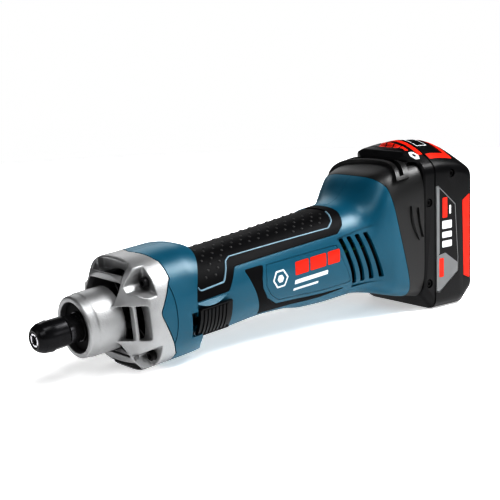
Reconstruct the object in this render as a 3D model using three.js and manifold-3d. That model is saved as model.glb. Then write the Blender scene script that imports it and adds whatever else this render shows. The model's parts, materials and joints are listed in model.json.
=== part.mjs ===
// Cordless die grinder with a straight spindle and a slide-on battery pack.
//
// Millimetres, +Z up, +X from the collet nut to the battery, +Y to the right-hand side.
// The tool stands on the flat bottom of its battery and on the land under its front flange.
// Barrel parts are drawn in the barrel's own frame: x along the spindle from the nut's front face.
// Pack parts are drawn in the stand frame, which shares the barrel frame's origin but is level.

import * as THREE from 'three';
import { mergeVertices } from 'three/addons/utils/BufferGeometryUtils.js';
import Module from 'manifold-3d';

const wasm = await Module();
wasm.setup();

// ---------------------------------------------------------------- driving dimensions

const TILT = THREE.MathUtils.degToRad(5.5); // the barrel slopes down towards the nose
const FLOOR = -31; // stand frame height of the surface that the tool stands on
const CENTRE_X = 183.9; // stand frame x of the middle of the whole tool

const GAP = 0.3; // clearance between neighbouring pieces
const WALL = 2.6; // moulded housing wall

const COLLAR_R = 21.5; // 43 mm clamping neck
const COLLAR_FRONT = 29.3;
const COLLAR_BORE_R = 16.87;
const FLANGE_REAR = 85;

const NUT_R = 10.6;
const NUT_REAR = 21.8;
const NUT_BORE_R = 8.35;
const NUT_FLATS = 19;
const SHANK_R = 3.05; // 6 mm collet, unclamped
const SPINDLE_NOSE_R = 8;
const SPINDLE_FLATS = 15;

const BEARING_X = [38.8, 47.8]; // 15 x 32 x 9 ball bearing
const BEARING_R = [7.5, 16];
const REAR_BEARING_X = [176, 183]; // 8 x 22 x 7 ball bearing
const REAR_BEARING_R = [4.3, 11];

const CAN_R = 24;
const CAN_X = [96, 156];
const CHAMBER_R = 29.5; // fan chamber in the flange

const GRIP_SKIN = 1.6; // overmoulded rubber, let into the shells
const RING_SKIN = 3.2; // rubber sleeve over the tail
const PLATE_SKIN = 0.9; // side plates, let into the shells

const SWITCH_X = [105.5, 136];
const SWITCH_ANGLES = [-42, -4];
const SWITCH_R = 35.8;

const PACK_HALF = 38; // half the pack's width
const PACK_SHOULDER = 315.5; // front of the pack where it meets the tail
const PACK_SPLIT = 327.1;
const PACK_REAR = 368.4;
const PACK_WALL = 2.1;
const PACK_CROWN = 98.4;
const TONGUE_FRONT = 305;
const TONGUE_HALF = 27;
const TONGUE_NECK = 22.5;
const TONGUE_BOTTOM = -17.5;
const CELL_R = 9;
const CELL_LENGTH = 65;

// ---------------------------------------------------------------- materials

function finish(color, roughness, metalness = 0) {
  return new THREE.MeshStandardMaterial({ color, roughness, metalness });
}
const LOOKS = {
  castAluminium: finish(0xc9cacb, 0.38, 0.9),
  burnishedSteel: finish(0x1c1d20, 0.35, 0.8),
  groundSteel: finish(0xb8babd, 0.25, 1),
  blackScrew: finish(0x161618, 0.4, 0.7),
  bluePlastic: finish(0x0e5478, 0.42),
  blackRubber: finish(0x1a1a1b, 0.75),
  blackPlastic: finish(0x121213, 0.5),
  greyPlastic: finish(0x8c8e90, 0.5),
  redPlastic: finish(0xe23a1e, 0.45),
  copper: finish(0xb4622d, 0.35, 0.9),
  ferrite: finish(0x3a3b3d, 0.8),
  laminate: finish(0x7b7d80, 0.5, 0.8),
  circuit: finish(0x1f6b3a, 0.5),
  carbon: finish(0x2a2a2c, 0.9),
  cellSleeve: finish(0x2f7f6d, 0.45),
};

// ---------------------------------------------------------------- geometry to solid and back

function signedVolume(position, index) {
  const [a, b, c] = [new THREE.Vector3(), new THREE.Vector3(), new THREE.Vector3()];
  let volume = 0;
  for (let i = 0; i < index.length; i += 3) {
    a.fromArray(position, 3 * index[i]);
    b.fromArray(position, 3 * index[i + 1]);
    c.fromArray(position, 3 * index[i + 2]);
    volume += a.dot(b.cross(c)) / 6;
  }
  return volume;
}

function solid(geometry) {
  const bare = geometry.clone();
  bare.deleteAttribute('normal');
  bare.deleteAttribute('uv');
  const merged = mergeVertices(bare, 1e-4);
  const position = merged.attributes.position.array;
  const kept = [];
  const index = merged.index.array;
  for (let i = 0; i < index.length; i += 3) {
    const [p, q, r] = [index[i], index[i + 1], index[i + 2]];
    if (p !== q && q !== r && r !== p) kept.push(p, q, r);
  }
  if (signedVolume(position, kept) < 0) kept.reverse();
  return new wasm.Manifold(
    new wasm.Mesh({
      numProp: 3,
      vertProperties: new Float32Array(position),
      triVerts: new Uint32Array(kept),
    }),
  );
}

const asSolid = (shape) => (shape.isBufferGeometry ? solid(shape) : shape);
const join = (...shapes) => shapes.map(asSolid).reduce((whole, piece) => whole.add(piece));
const cut = (shape, ...tools) =>
  tools.map(asSolid).reduce((left, tool) => left.subtract(tool), asSolid(shape));
const common = (...shapes) => shapes.map(asSolid).reduce((whole, piece) => whole.intersect(piece));

function geometryOf(shape) {
  const { vertProperties, triVerts } = asSolid(shape).getMesh();
  const geometry = new THREE.BufferGeometry();
  geometry.setAttribute('position', new THREE.BufferAttribute(new Float32Array(vertProperties), 3));
  geometry.setIndex(new THREE.BufferAttribute(new Uint32Array(triVerts), 1));
  geometry.computeVertexNormals();
  return geometry;
}

// ---------------------------------------------------------------- shapes

const degrees = THREE.MathUtils.degToRad;

function block([x0, x1], [y0, y1], [z0, z1]) {
  const box = new THREE.BoxGeometry(x1 - x0, y1 - y0, z1 - z0);
  return box.translate((x0 + x1) / 2, (y0 + y1) / 2, (z0 + z1) / 2);
}

const outline = (points) => new THREE.Shape(points.map(([u, v]) => new THREE.Vector2(u, v)));
const extruded = (shape, depth, curveSegments = 8) =>
  new THREE.ExtrudeGeometry(shape, { depth, curveSegments, bevelEnabled: false });

// a section drawn in (y, z), swept along x
function sweptAlongX(shape, [x0, x1], curveSegments) {
  const turn = new THREE.Matrix4().set(0, 0, 1, x0, 1, 0, 0, 0, 0, 1, 0, 0, 0, 0, 0, 1);
  return extruded(shape, x1 - x0, curveSegments).applyMatrix4(turn);
}

// a side view drawn in (x, z), swept across from y0 to y1
function sweptAlongY(points, [y0, y1]) {
  return extruded(outline(points), y1 - y0).rotateX(Math.PI / 2).translate(0, y1, 0);
}

// a plan drawn in (x, y), swept up from z0 to z1
const sweptAlongZ = (points, [z0, z1]) => extruded(outline(points), z1 - z0).translate(0, 0, z0);

// a body of revolution about the spindle line, from [x, radius] points
function turned(profile, segments = 20) {
  const onAxis = profile[0][1] === 0;
  const closed = onAxis ? profile : [...profile, profile[0]];
  const points = closed.map(([x, r]) => new THREE.Vector2(r, x));
  return new THREE.LatheGeometry(points, segments).rotateZ(-Math.PI / 2);
}

const rod = (radius, [x0, x1], segments = 12) =>
  turned([[x0, 0], [x0, radius], [x1, radius], [x1, 0]], segments);
const tube = ([r0, r1], [x0, x1], segments = 20) =>
  turned([[x0, r0], [x0, r1], [x1, r1], [x1, r0]], segments);

// part of a tube about the spindle line; angles in degrees from the left side (-Y) up towards +Z
function sector([r0, r1], [low, high], [x0, x1], segments = 3) {
  const start = degrees(180 - high);
  const end = degrees(180 - low);
  const shape = new THREE.Shape();
  shape.absarc(0, 0, r1, start, end, false);
  shape.absarc(0, 0, r0, end, start, true);
  return sweptAlongX(shape, [x0, x1], segments);
}

// a rod across the tool at (x, z), from y0 to y1
function crossRod(radius, [x, z], [y0, y1], segments = 12) {
  return new THREE.CylinderGeometry(radius, radius, y1 - y0, segments).translate(x, (y0 + y1) / 2, z);
}

// a tapering body through rings of equal count, closed by a fan at each end
function lofted(rings) {
  const count = rings[0].length;
  const vertices = rings.flat(2);
  const index = [];
  for (let i = 0; i < rings.length - 1; i += 1) {
    for (let j = 0; j < count; j += 1) {
      const next = (j + 1) % count;
      const [a, b] = [i * count + j, i * count + next];
      index.push(a, b, a + count, b, b + count, a + count);
    }
  }
  for (const [ring, first] of [[rings[0], 0], [rings.at(-1), (rings.length - 1) * count]]) {
    const centre = new THREE.Vector3();
    ring.forEach((point) => centre.add(new THREE.Vector3(...point)));
    const hub = vertices.length / 3;
    vertices.push(...centre.divideScalar(count).toArray());
    for (let j = 0; j < count; j += 1) {
      const pair = [first + j, first + ((j + 1) % count)];
      if (first === 0) pair.reverse();
      index.push(hub, ...pair);
    }
  }
  const geometry = new THREE.BufferGeometry();
  geometry.setAttribute('position', new THREE.Float32BufferAttribute(vertices, 3));
  geometry.setIndex(index);
  return geometry;
}

// a rounded-square ring at x; power 2 is an ellipse and a higher power is squarer
function roundedRing([x, top, bottom, half, power], inset = 0, count = 20) {
  const soften = (value) => Math.sign(value) * Math.abs(value) ** (2 / power);
  return Array.from({ length: count }, (_, i) => {
    const angle = (2 * Math.PI * i) / count;
    const reach = (Math.sin(angle) > 0 ? top : -bottom) - inset;
    return [x, (half - inset) * soften(Math.cos(angle)), reach * soften(Math.sin(angle))];
  });
}

const skin = (stations, inset = 0, count = 20) =>
  lofted(stations.map((station) => roundedRing(station, inset, count)));

const barrelTurn = new THREE.Matrix4().makeRotationY(-TILT);
const standToBarrel = barrelTurn.clone().invert();
// a shape drawn in the level stand frame, brought into the barrel's frame
const level = (geometry) => geometry.applyMatrix4(standToBarrel);

const underFloor = () => level(block([-20, 400], [-60, 60], [FLOOR - 40, FLOOR]));

// ---------------------------------------------------------------- scene graph

const tool = new THREE.Group();
tool.position.set(-CENTRE_X, 0, -FLOOR);
const barrel = new THREE.Group();
barrel.rotation.y = -TILT;
const pack = new THREE.Group();
tool.add(barrel, pack);

// cuts along shared faces can leave hairline crumbs, so only the main body is kept
function mainBody(shape) {
  return asSolid(shape).decompose().reduce((most, piece) => (piece.volume() > most.volume() ? piece : most));
}

function add(group, name, shape, look) {
  const mesh = new THREE.Mesh(geometryOf(mainBody(shape)), LOOKS[look]);
  mesh.name = name;
  group.add(mesh);
}

// ---------------------------------------------------------------- collet, nut and spindle

// two parallel wrench flats, turned about the spindle line
const flats = (across, span, angle) => [[across / 2, 20], [-20, -across / 2]].map((height) =>
  block(span, [-15, 15], height).rotateX(degrees(angle)));

function addNose() {
  const nutProfile = [
    [0, 5.2], [0, 6.6], [1.6, 8.3], [4.6, 9.7], [9.5, 10.4], [12, NUT_R], [20.8, NUT_R], [NUT_REAR, 9.9],
    [NUT_REAR, NUT_BORE_R], [7.4, NUT_BORE_R], [6.2, 7], [2.2, 5.2],
  ];
  const nut = cut(turned(nutProfile, 24), ...flats(NUT_FLATS, [10.5, NUT_REAR + 1], -25));
  add(barrel, 'collet_nut', nut, 'burnishedSteel');

  const colletProfile = [
    [0.2, SHANK_R], [0.2, 4.7], [2.1, 4.8], [5.6, 6.3], [8, 6.1], [18.6, 3.9], [18.6, SHANK_R],
  ];
  const slit = (turn) => block([-1, 14], [-10, 0], [-0.4, 0.4]).rotateX(degrees(turn));
  const collet = cut(turned(colletProfile, 24), ...[45, 135, 225, 315].map(slit));
  add(barrel, 'collet', collet, 'groundSteel');

  const shaft = turned([
    [9, 0], [9, SPINDLE_NOSE_R], [22.1, SPINDLE_NOSE_R], [22.1, 9.3], [32, 9.3], [32, 9.8], [38.5, 9.8],
    [38.5, 7.2], [62, 7.2], [62, 6.2], [157.5, 6.2], [157.5, 5], [175.6, 5], [175.6, 4], [184, 4], [184, 0],
  ]);
  const bore = turned([[8, 0], [8, 7], [9, 6.75], [20, 4.25], [20, 3.25], [45, 3.25], [45, 0]]);
  const spindle = cut(shaft, bore, ...flats(SPINDLE_FLATS, [22, 30.5], 20));
  add(barrel, 'spindle', spindle, 'groundSteel');
}

// ---------------------------------------------------------------- bearings

function ballCage([x0, x1], [r0, r1], ballCount) {
  const middle = (x0 + x1) / 2;
  const pitch = (r0 + r1) / 2;
  const ballR = (r1 - r0) * 0.25;
  const ball = (i) => {
    const angle = (2 * Math.PI * i) / ballCount;
    const [y, z] = [pitch * Math.cos(angle), pitch * Math.sin(angle)];
    return new THREE.SphereGeometry(ballR, 6, 4).translate(middle, y, z);
  };
  const cage = tube([pitch - 0.5, pitch + 0.5], [middle - 0.8, middle + 0.8], 18);
  return join(cage, ...Array.from({ length: ballCount }, (_, i) => ball(i)));
}

function addBearings() {
  const [inner, outer] = BEARING_R;
  const third = (outer - inner) * 0.21;
  add(barrel, 'front_bearing_outer_ring', tube([outer - third, outer], BEARING_X), 'groundSteel');
  add(barrel, 'front_bearing_inner_ring', tube([inner, inner + third], BEARING_X), 'groundSteel');
  add(barrel, 'front_bearing_balls', ballCage(BEARING_X, BEARING_R, 9), 'groundSteel');
  add(barrel, 'rear_bearing', tube(REAR_BEARING_R, REAR_BEARING_X, 16), 'groundSteel');
  add(barrel, 'dust_seal', tube([10.2, COLLAR_BORE_R - GAP], [33.2, 35.4]), 'blackRubber');
  add(barrel, 'bearing_retainer', tube([11.6, COLLAR_BORE_R - GAP], [35.7, 38.4]), 'burnishedSteel');
}

// ---------------------------------------------------------------- housing outline

// [x, top, bottom, half width, power] in the barrel's frame
const FRONT_STATIONS = [
  [66, 39.2, -38.6, 38.6, 2.45], [101, 39.2, -38.2, 38.4, 2.45], [109, 38.2, -38, 37.8, 2.4],
  [116, 35.8, -37.4, 36.6, 2.4], [123, 33, -34, 34, 2.3],
];
const HANDLE_STATIONS = [
  [96, 30, -31, 31.4, 2.2], [135, 29.6, -30.8, 31.4, 2.2], [165, 30.2, -29.8, 31.2, 2.2],
  [192, 30.8, -31.4, 31.2, 2.25], [212, 31.4, -35.2, 31.5, 2.3], [236, 32, -36.6, 32.2, 2.4],
  [256, 32.6, -36.8, 33.6, 2.4], [264, 34.8, -38, 34.8, 2.4], [271, 39.8, -39.4, 36, 2.7],
  [278, 46.6, -41, 37.2, 3.4], [286, 51, -43.6, 38, 4.6], [300, 53.2, -48.2, 38, 5.4],
  [325, 54.2, -54, 38, 5.4],
];

// the front section's rear edge bows back towards top and bottom
const SHOULDER_X = 101;
const SHOULDER_BOW = { below: 0.0095, above: 0.0135 };
function frontKeep(shift = 0) {
  const edge = [];
  for (let z = -42; z <= 42; z += 7) {
    const bow = z < 0 ? SHOULDER_BOW.below : SHOULDER_BOW.above;
    edge.push([SHOULDER_X + bow * z * z - shift, z]);
  }
  return sweptAlongY([[50, 42], [50, -42], ...edge], [-50, 50]);
}

// the moulded seam with the flange: a pointed tongue on each side, top and bottom
const pointed = (apex, top, bottom) =>
  [apex, [FLANGE_REAR, top], [FLANGE_REAR + 30, top], [FLANGE_REAR + 30, bottom], [FLANGE_REAR, bottom]];
const SIDE_TONGUE = pointed([72.5, 4], 24, -28);
const TOP_TONGUE = pointed([78, 0], 24, -24);
const TONGUE_DEPTH = 3;

function tongues(grow) {
  const aside = [0, grow, grow, -grow, -grow];
  const widen = (points) => points.map(([x, v], i) => [x - grow, v + aside[i]]);
  const sides = [[-60, -20], [20, 60]].map((span) => sweptAlongY(widen(SIDE_TONGUE), span));
  const ends = [[20, 60], [-60, -20]].map((span) => sweptAlongZ(widen(TOP_TONGUE), span));
  return join(join(...sides), join(...ends));
}

const forwardOf = (x) => block([-20, x], [-60, 60], [-60, 60]);
const behind = (x) => block([x, 420], [-60, 60], [-60, 60]);

// ---------------------------------------------------------------- flange

const SCREW_ANGLES = [42, -48, 138, 228]; // from the left side up
const SCREW_RADIUS = 35.4;
const SCREW_SEAT = 72;
const SCREW_CENTRES = SCREW_ANGLES.map((angle) => [
  -SCREW_RADIUS * Math.cos(degrees(angle)), SCREW_RADIUS * Math.sin(degrees(angle)),
]);
const screwHoles = (radius, span) => SCREW_CENTRES.map(([y, z]) => rod(radius, span).translate(0, y, z));

function addFlange() {
  const neck = turned([
    [COLLAR_FRONT, COLLAR_BORE_R], [COLLAR_FRONT, 20.5], [30.1, 21.1], [36, 21.3], [36.4, COLLAR_R],
    [58, COLLAR_R], [58, 14], [48.1, 14], [48.1, BEARING_R[1] + GAP], [38.7, BEARING_R[1] + GAP],
    [38.7, COLLAR_BORE_R],
  ], 32);
  const blockStations = [
    [48, 22, -22, 22, 2], [54, 26.6, -26.4, 26.6, 2.1], [59, 33.2, -32.4, 33.2, 2.3],
    [62.8, 37.4, -36.2, 37.4, 2.4], [66, 39.2, -38.6, 38.6, 2.45], [90, 39.2, -38.4, 38.6, 2.45],
  ];
  const throat = turned([
    [40, 0], [40, 15], [52, 15], [54, 18.5], [58, 24.5], [61, CHAMBER_R], [95, CHAMBER_R], [95, 0],
  ], 24);

  // each side is cut back to the neck between the corner arms, leaving a bar across the air opening
  const sides = [[0, 16.8], [90, 10.8], [180, 16.8], [270, 10.8]]; // quarter turn and half length
  const recesses = sides.map(([turn, half]) =>
    cut(block([42, 64.2], [-half, half], [8, 50]), rod(COLLAR_R, [38, 58], 32)).rotate([turn, 0, 0]));
  const bars = sides.map(([turn, half]) =>
    block([57, 59.6], [-half - 1, half + 1], [25, 29.8]).rotateX(degrees(turn)));
  const pockets = SCREW_ANGLES.map((angle) =>
    cut(sector([28, 50], [angle - 15, angle + 14], [44, SCREW_SEAT]), rod(31.2, [40, 80], 32)));
  const mate = cut(tongues(GAP), skin(FRONT_STATIONS, TONGUE_DEPTH + GAP));
  const body = cut(
    join(cut(skin(blockStations), ...recesses), neck), throat, ...pockets, ...screwHoles(2.4, [70, 95]), mate,
    behind(FLANGE_REAR), underFloor(),
  );
  const flange = join(body, ...bars.map((bar) => common(bar, skin(blockStations, 0.5))));
  add(barrel, 'front_flange', flange, 'castAluminium');
}

function socketScrew(headR, shankR, headLength, length) {
  const profile = [
    [-headLength, 0], [-headLength, headR], [0, headR], [0, shankR], [length - 1, shankR],
    [length, shankR / 2], [length, 0],
  ];
  const socket = new THREE.CylinderGeometry(headR * 0.5, headR * 0.5, headLength * 0.6, 6)
    .rotateZ(Math.PI / 2).translate(-headLength * 0.8, 0, 0);
  return geometryOf(cut(turned(profile, 10), socket));
}

function addFlangeScrews() {
  SCREW_CENTRES.forEach(([y, z], i) => {
    const screw = socketScrew(3.5, 1.9, 3.4, 27).translate(SCREW_SEAT - GAP, y, z);
    add(barrel, `flange_screw_${i + 1}`, screw, 'blackScrew');
  });
}

// ---------------------------------------------------------------- housing shells and what is let into them

// the blue and black seam at the tail leans forward at the top
const TAIL_SEAM = [[278, 70], [279.5, 54], [285, 42], [299, -39], [302, -70]];
const tailRegion = (shift = 0) =>
  sweptAlongY([...TAIL_SEAM.map(([x, z]) => [x - shift, z]), [400, -70], [400, 70]], [-60, 60]);
const behindTail = () => level(block([PACK_SHOULDER - GAP, 440], [-60, 60], [-120, 140]));

const GRIP_OUTLINE = [
  [104.5, 1.6], [133, 2.4], [142.5, 16.6], [237, 17.6], [244, 22], [250, 30], [250, 60], [124, 60], [122, 32],
  [112.5, 25], [105.5, 12],
];
const PLATE_OUTLINE = [
  [168, 11.6], [234, 10.6], [239.5, -3.5], [251, -21.5], [219, -20.6], [178, -17], [169.5, -10.5],
  [165.5, -3], [166.5, 5],
];
const INLAY_OUTLINE = [
  [149, 12.6], [165.6, 12.2], [162.6, 3], [162.4, -3.5], [166.6, -12], [176.6, -19.4], [219, -23.2],
  [254, -24.6], [219, -26], [176, -25], [163, -24.4], [155.4, -3],
];
const HOUSING_SCREWS = [[110, -30, 19], [216, -27.5, 15.2], [270, 29, 21]]; // x, z and the seat's y

// an outline drawn in by a distance, with mitred corners
function shrunk(points, by) {
  const area = points.reduce((sum, [x, z], i) => {
    const [nextX, nextZ] = points[(i + 1) % points.length];
    return sum + (x * nextZ - nextX * z) / 2;
  }, 0);
  const turn = Math.sign(area);
  const inward = (i) => {
    const [x0, z0] = points.at(i);
    const [x1, z1] = points[(i + 1 + points.length) % points.length];
    const length = Math.hypot(x1 - x0, z1 - z0);
    return [(-turn * (z1 - z0)) / length, (turn * (x1 - x0)) / length];
  };
  return points.map(([x, z], i) => {
    const [a, b] = [inward(i - 1), inward(i)];
    const mitre = by / (1 + a[0] * b[0] + a[1] * b[1]);
    return [x + (a[0] + b[0]) * mitre, z + (a[1] + b[1]) * mitre];
  });
}
const LEFT = [-60, -8];
const RIGHT = [8, 60];

function ventSlots(span) {
  return [0, 1, 2, 3].map((i) => {
    const x = 241 + 6.8 * i;
    return sweptAlongY([[x, 12.2], [x + 2.4, 12.2], [x + 14.6, -21], [x + 12.2, -21]], span);
  });
}

const handleInset = (depth) => skin(HANDLE_STATIONS, depth);
const foot = () => level(block([298, 440], [-60, 60], [-120, 140])); // the solid end that carries the pack

// a shallow bed in the handle's surface, and the piece that fills it
const bed = (region, depth) => cut(region, handleInset(depth + GAP));
const fill = (region, depth) => common(cut(region, handleInset(depth)), handleInset(0));

const gripRegion = (by = 0) => cut(sweptAlongY(shrunk(GRIP_OUTLINE, by), [-60, 60]),
  common(skin(FRONT_STATIONS, -by), frontKeep(-by)));
const plateRegion = (points, span, by = 0) => sweptAlongY(shrunk(points, by), span);

function addHousing() {
  const outerFront = common(skin(FRONT_STATIONS), frontKeep());
  const innerFront = common(skin(FRONT_STATIONS, WALL, 14), frontKeep(WALL));
  const outer = join(outerFront, handleInset(0));
  const tailInset = RING_SKIN + GAP;

  // the tail steps in under its rubber ring and ends in the solid battery foot
  const body = cut(outer, cut(tailRegion(), handleInset(tailInset)));
  const handleHollow = cut(skin(HANDLE_STATIONS, WALL, 14), tailRegion(6), foot());
  const tailHollow = common(cut(skin(HANDLE_STATIONS, tailInset + WALL, 14), foot()), behind(255));
  const cavity = join(cut(innerFront, foot()), handleHollow, tailHollow);

  // bosses for the cross screws and for the flange screws
  const bosses = HOUSING_SCREWS.map(([x, z]) => common(crossRod(3.9, [x, z], [-40, 40]), handleInset(1)));
  const sockets = SCREW_CENTRES.map(([y, z]) =>
    common(rod(4.6, [FLANGE_REAR, 101], 16).translate(0, y, z), skin(FRONT_STATIONS, 1)));
  const full = join(cut(body, cavity), ...bosses, ...sockets);

  const noseTongues = cut(tongues(0), skin(FRONT_STATIONS, TONGUE_DEPTH));
  const noseCut = cut(forwardOf(FLANGE_REAR + GAP), noseTongues);
  const crossHoles = HOUSING_SCREWS.map(([x, z]) => crossRod(1.9, [x, z], [-12, 60], 12));
  const headPockets = HOUSING_SCREWS.map(([x, z, seat]) => crossRod(3.3, [x, z], [seat - GAP, 60]));

  // thumb-slide recess and slot on the left side
  const recess = sector([32.3, 60], [SWITCH_ANGLES[0] - 2, SWITCH_ANGLES[1] + 2], [97.6, SWITCH_X[1] + 1]);
  const slot = sector([20, 40], [-31, -15], [104, 131.5]);

  // battery channel, its rail grooves and the terminal window, open at top and bottom
  const channel = join(
    block([TONGUE_FRONT - 0.6, 309.4], [-TONGUE_HALF - 0.6, TONGUE_HALF + 0.6], [-120, 140]),
    block([309, 330], [-TONGUE_NECK - 0.6, TONGUE_NECK + 0.6], [-120, 140]),
  );
  const terminalWindow = level(block([290, 310], [-17, 17], [-14, 26]));
  const plateBeds = [PLATE_OUTLINE, INLAY_OUTLINE].flatMap((points) =>
    [LEFT, RIGHT].map((span) => bed(plateRegion(points, span), PLATE_SKIN)));

  const housing = cut(
    full, noseCut, ...screwHoles(2.3, [80, 99.5]), ...crossHoles, ...headPockets, recess, slot,
    channel.transform(standToBarrel.elements), terminalWindow, bed(gripRegion(-GAP), GRIP_SKIN), ...plateBeds,
    ...ventSlots([-60, -14]), ...ventSlots([14, 60]), behindTail(), underFloor(),
  );
  add(barrel, 'housing_left', common(housing, block([0, 420], [-60, -GAP / 2], [-80, 120])), 'bluePlastic');
  add(barrel, 'housing_right', common(housing, block([0, 420], [GAP / 2, 60], [-80, 120])), 'bluePlastic');
}

function addHousingScrews() {
  HOUSING_SCREWS.forEach(([x, z, seat], i) => {
    const screw = socketScrew(2.9, 1.5, 2.4, 26).rotateZ(-Math.PI / 2).translate(x, seat, z);
    add(barrel, `housing_screw_${i + 1}`, screw, 'blackScrew');
  });
}

function addGripAndPlates() {
  const grip = fill(gripRegion(0), GRIP_SKIN);
  add(barrel, 'grip_left', common(grip, block([0, 420], [-60, -GAP / 2], [-80, 120])), 'blackRubber');
  add(barrel, 'grip_right', common(grip, block([0, 420], [GAP / 2, 60], [-80, 120])), 'blackRubber');
  [['left', LEFT], ['right', RIGHT]].forEach(([side, span]) => {
    add(barrel, `nameplate_${side}`, fill(plateRegion(PLATE_OUTLINE, span, GAP), PLATE_SKIN), 'bluePlastic');
    add(barrel, `side_inlay_${side}`, fill(plateRegion(INLAY_OUTLINE, span, GAP), PLATE_SKIN), 'blackRubber');
  });
}

function addTailRing() {
  const sleeve = cut(common(handleInset(0), tailRegion(-GAP)), handleInset(RING_SKIN));
  const topNotch = level(block([TONGUE_FRONT - 0.9, 330], [-TONGUE_HALF - 1, TONGUE_HALF + 1], [-120, 140]));
  add(barrel, 'tail_ring', cut(sleeve, topNotch, behindTail(), underFloor()), 'blackRubber');
}

// ---------------------------------------------------------------- thumb slide and electrics

function addSwitch() {
  const [low, high] = SWITCH_ANGLES;
  const [front, rear] = SWITCH_X;
  const knob = sector([32.7, SWITCH_R - 0.8], [low, high], [front, rear], 4);
  const ribs = [];
  for (let x = front + 4; x < rear - 3; x += 3.2) {
    ribs.push(sector([34, SWITCH_R], [low + 3, high - 3], [x, x + 1.6]));
  }
  const stem = sector([27, 33.5], [-29, -17], [front + 7, rear - 5], 2);
  add(barrel, 'switch_slide', join(knob, stem, ...ribs), 'blackPlastic');
  const hook = block([192, 195.5], [-24.5, -12.5], [-12, -8.5]);
  const strip = sector([25.2, 26.7], [-28, -18], [front + 8, 195.5], 2);
  add(barrel, 'switch_rod', join(strip, hook), 'blackPlastic');
  const module = join(block([199, 220], [-19, -3], [-20, -6]), block([196, 200], [-16, -13], [-11.6, -9]));
  add(barrel, 'switch_module', module, 'blackPlastic');
}

function addElectrics() {
  const board = block([226, 272], [-21, 21], [-1, 0.6]);
  const capacitor = crossRod(5, [243, 5.2], [-18, 2]);
  const drivers = [-12, -3, 6].map((y) => block([256, 266], [y, y + 7], [0.4, 4]));
  add(barrel, 'control_board', join(board, capacitor, ...drivers), 'circuit');
  const plate = block([291, TONGUE_FRONT - 1], [-16.6, 16.6], [-13.6, 25.6]);
  const blades = [-9, -0.4, 8.2].map((y) => block([TONGUE_FRONT - 2, 312], [y, y + 0.8], [-10, 6]));
  add(tool, 'terminal_block', join(plate, ...blades), 'blackPlastic');
  [['red', -5, 'redPlastic'], ['black', 5, 'blackPlastic']].forEach(([colour, y, look]) => {
    const route = new THREE.CatmullRomCurve3([
      [188, y, 12], [204, y * 1.6, 15], [224, y * 2.6, 12], [232, y * 2.6, 2.4],
    ].map((point) => new THREE.Vector3(...point)));
    const section = new THREE.Shape();
    section.absarc(0, 0, 1.4, 0, 2 * Math.PI);
    const lead = new THREE.ExtrudeGeometry(section, { steps: 10, curveSegments: 2, extrudePath: route });
    add(barrel, `motor_lead_${colour}`, lead, look);
  });
}

// ---------------------------------------------------------------- motor

function addMotor() {
  const [canFront, canRear] = CAN_X;
  add(barrel, 'motor_can', turned([
    [canFront, 9], [canFront, CAN_R], [canRear, CAN_R], [canRear, CAN_R - 1.6], [canFront + 1.6, CAN_R - 1.6],
    [canFront + 1.6, 9],
  ]), 'laminate');
  add(barrel, 'magnet_left', sector([19.2, CAN_R - 1.9], [-62, 62], [104, 150], 8), 'ferrite');
  add(barrel, 'magnet_right', sector([19.2, CAN_R - 1.9], [118, 242], [104, 150], 8), 'ferrite');

  const slots = Array.from({ length: 12 }, (_, i) =>
    block([100, 156], [-1, 1], [12, 20]).rotateX((i * Math.PI) / 6));
  add(barrel, 'armature_core', cut(tube([6.5, 18.6], [108, 146], 24), ...slots), 'laminate');
  const windingFront = turned([[99, 7.5], [99, 13], [102, 16.6], [107.6, 16.6], [107.6, 7.5]]);
  const windingRear = turned([[146.4, 7.5], [146.4, 16.6], [151, 16.6], [155, 13], [155, 7.5]]);
  add(barrel, 'winding_front', windingFront, 'copper');
  add(barrel, 'winding_rear', windingRear, 'copper');
  add(barrel, 'commutator', tube([5.3, 9.5], [158, 170], 16), 'copper');

  const hub = tube([7.5, 12], [70, 80], 16);
  const disc = tube([11, 26], [78, 80], 22);
  const blades = Array.from({ length: 11 }, (_, i) =>
    block([71, 79], [-0.8, 0.8], [11.5, 25.5]).rotateX((2 * Math.PI * i) / 11));
  add(barrel, 'cooling_fan', join(hub, disc, ...blades), 'blackPlastic');

  const carrierDisc = turned([
    [171.5, 11.3], [171.5, 24], [174.5, 24], [174.5, 13.4], [184.5, 13.4], [184.5, 11.3],
  ]);
  const holders = [-1, 1].map((side) =>
    cut(block([159, 172.5], [10.2, 19.5], [-5, 5]), block([160.7, 167.3], [8, 22], [-3.3, 3.3]))
      .transform(new THREE.Matrix4().makeScale(1, side, 1).elements));
  add(barrel, 'brush_carrier', join(carrierDisc, ...holders), 'blackPlastic');
  [['left', -1], ['right', 1]].forEach(([name, side]) => {
    const brush = block([161, 167], [9.8, 19], [-3, 3]).scale(1, side, 1);
    add(barrel, `brush_${name}`, brush, 'carbon');
  });
}

// ---------------------------------------------------------------- battery pack

const PACK_BOTTOM = FLOOR;
// a section of the pack across y, with the crowned top that carries the release button
function packRing(x, { half = PACK_HALF, side, crown, bottom = PACK_BOTTOM }) {
  const arch = [];
  for (let i = 0; i <= 12; i += 1) {
    const y = half - (2 * half * i) / 12;
    arch.push([x, y, side + (crown - side) * (1 - Math.abs(y / half) ** 1.8)]);
  }
  const corner = [[0, 8.5], [2.6, 2.6], [8.5, 0]];
  const left = corner.map(([inY, up]) => [x, -half + inY, bottom + up]);
  const right = corner.map(([inY, up]) => [x, half - inY, bottom + up]).reverse();
  return [...arch, ...left, ...right];
}

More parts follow.
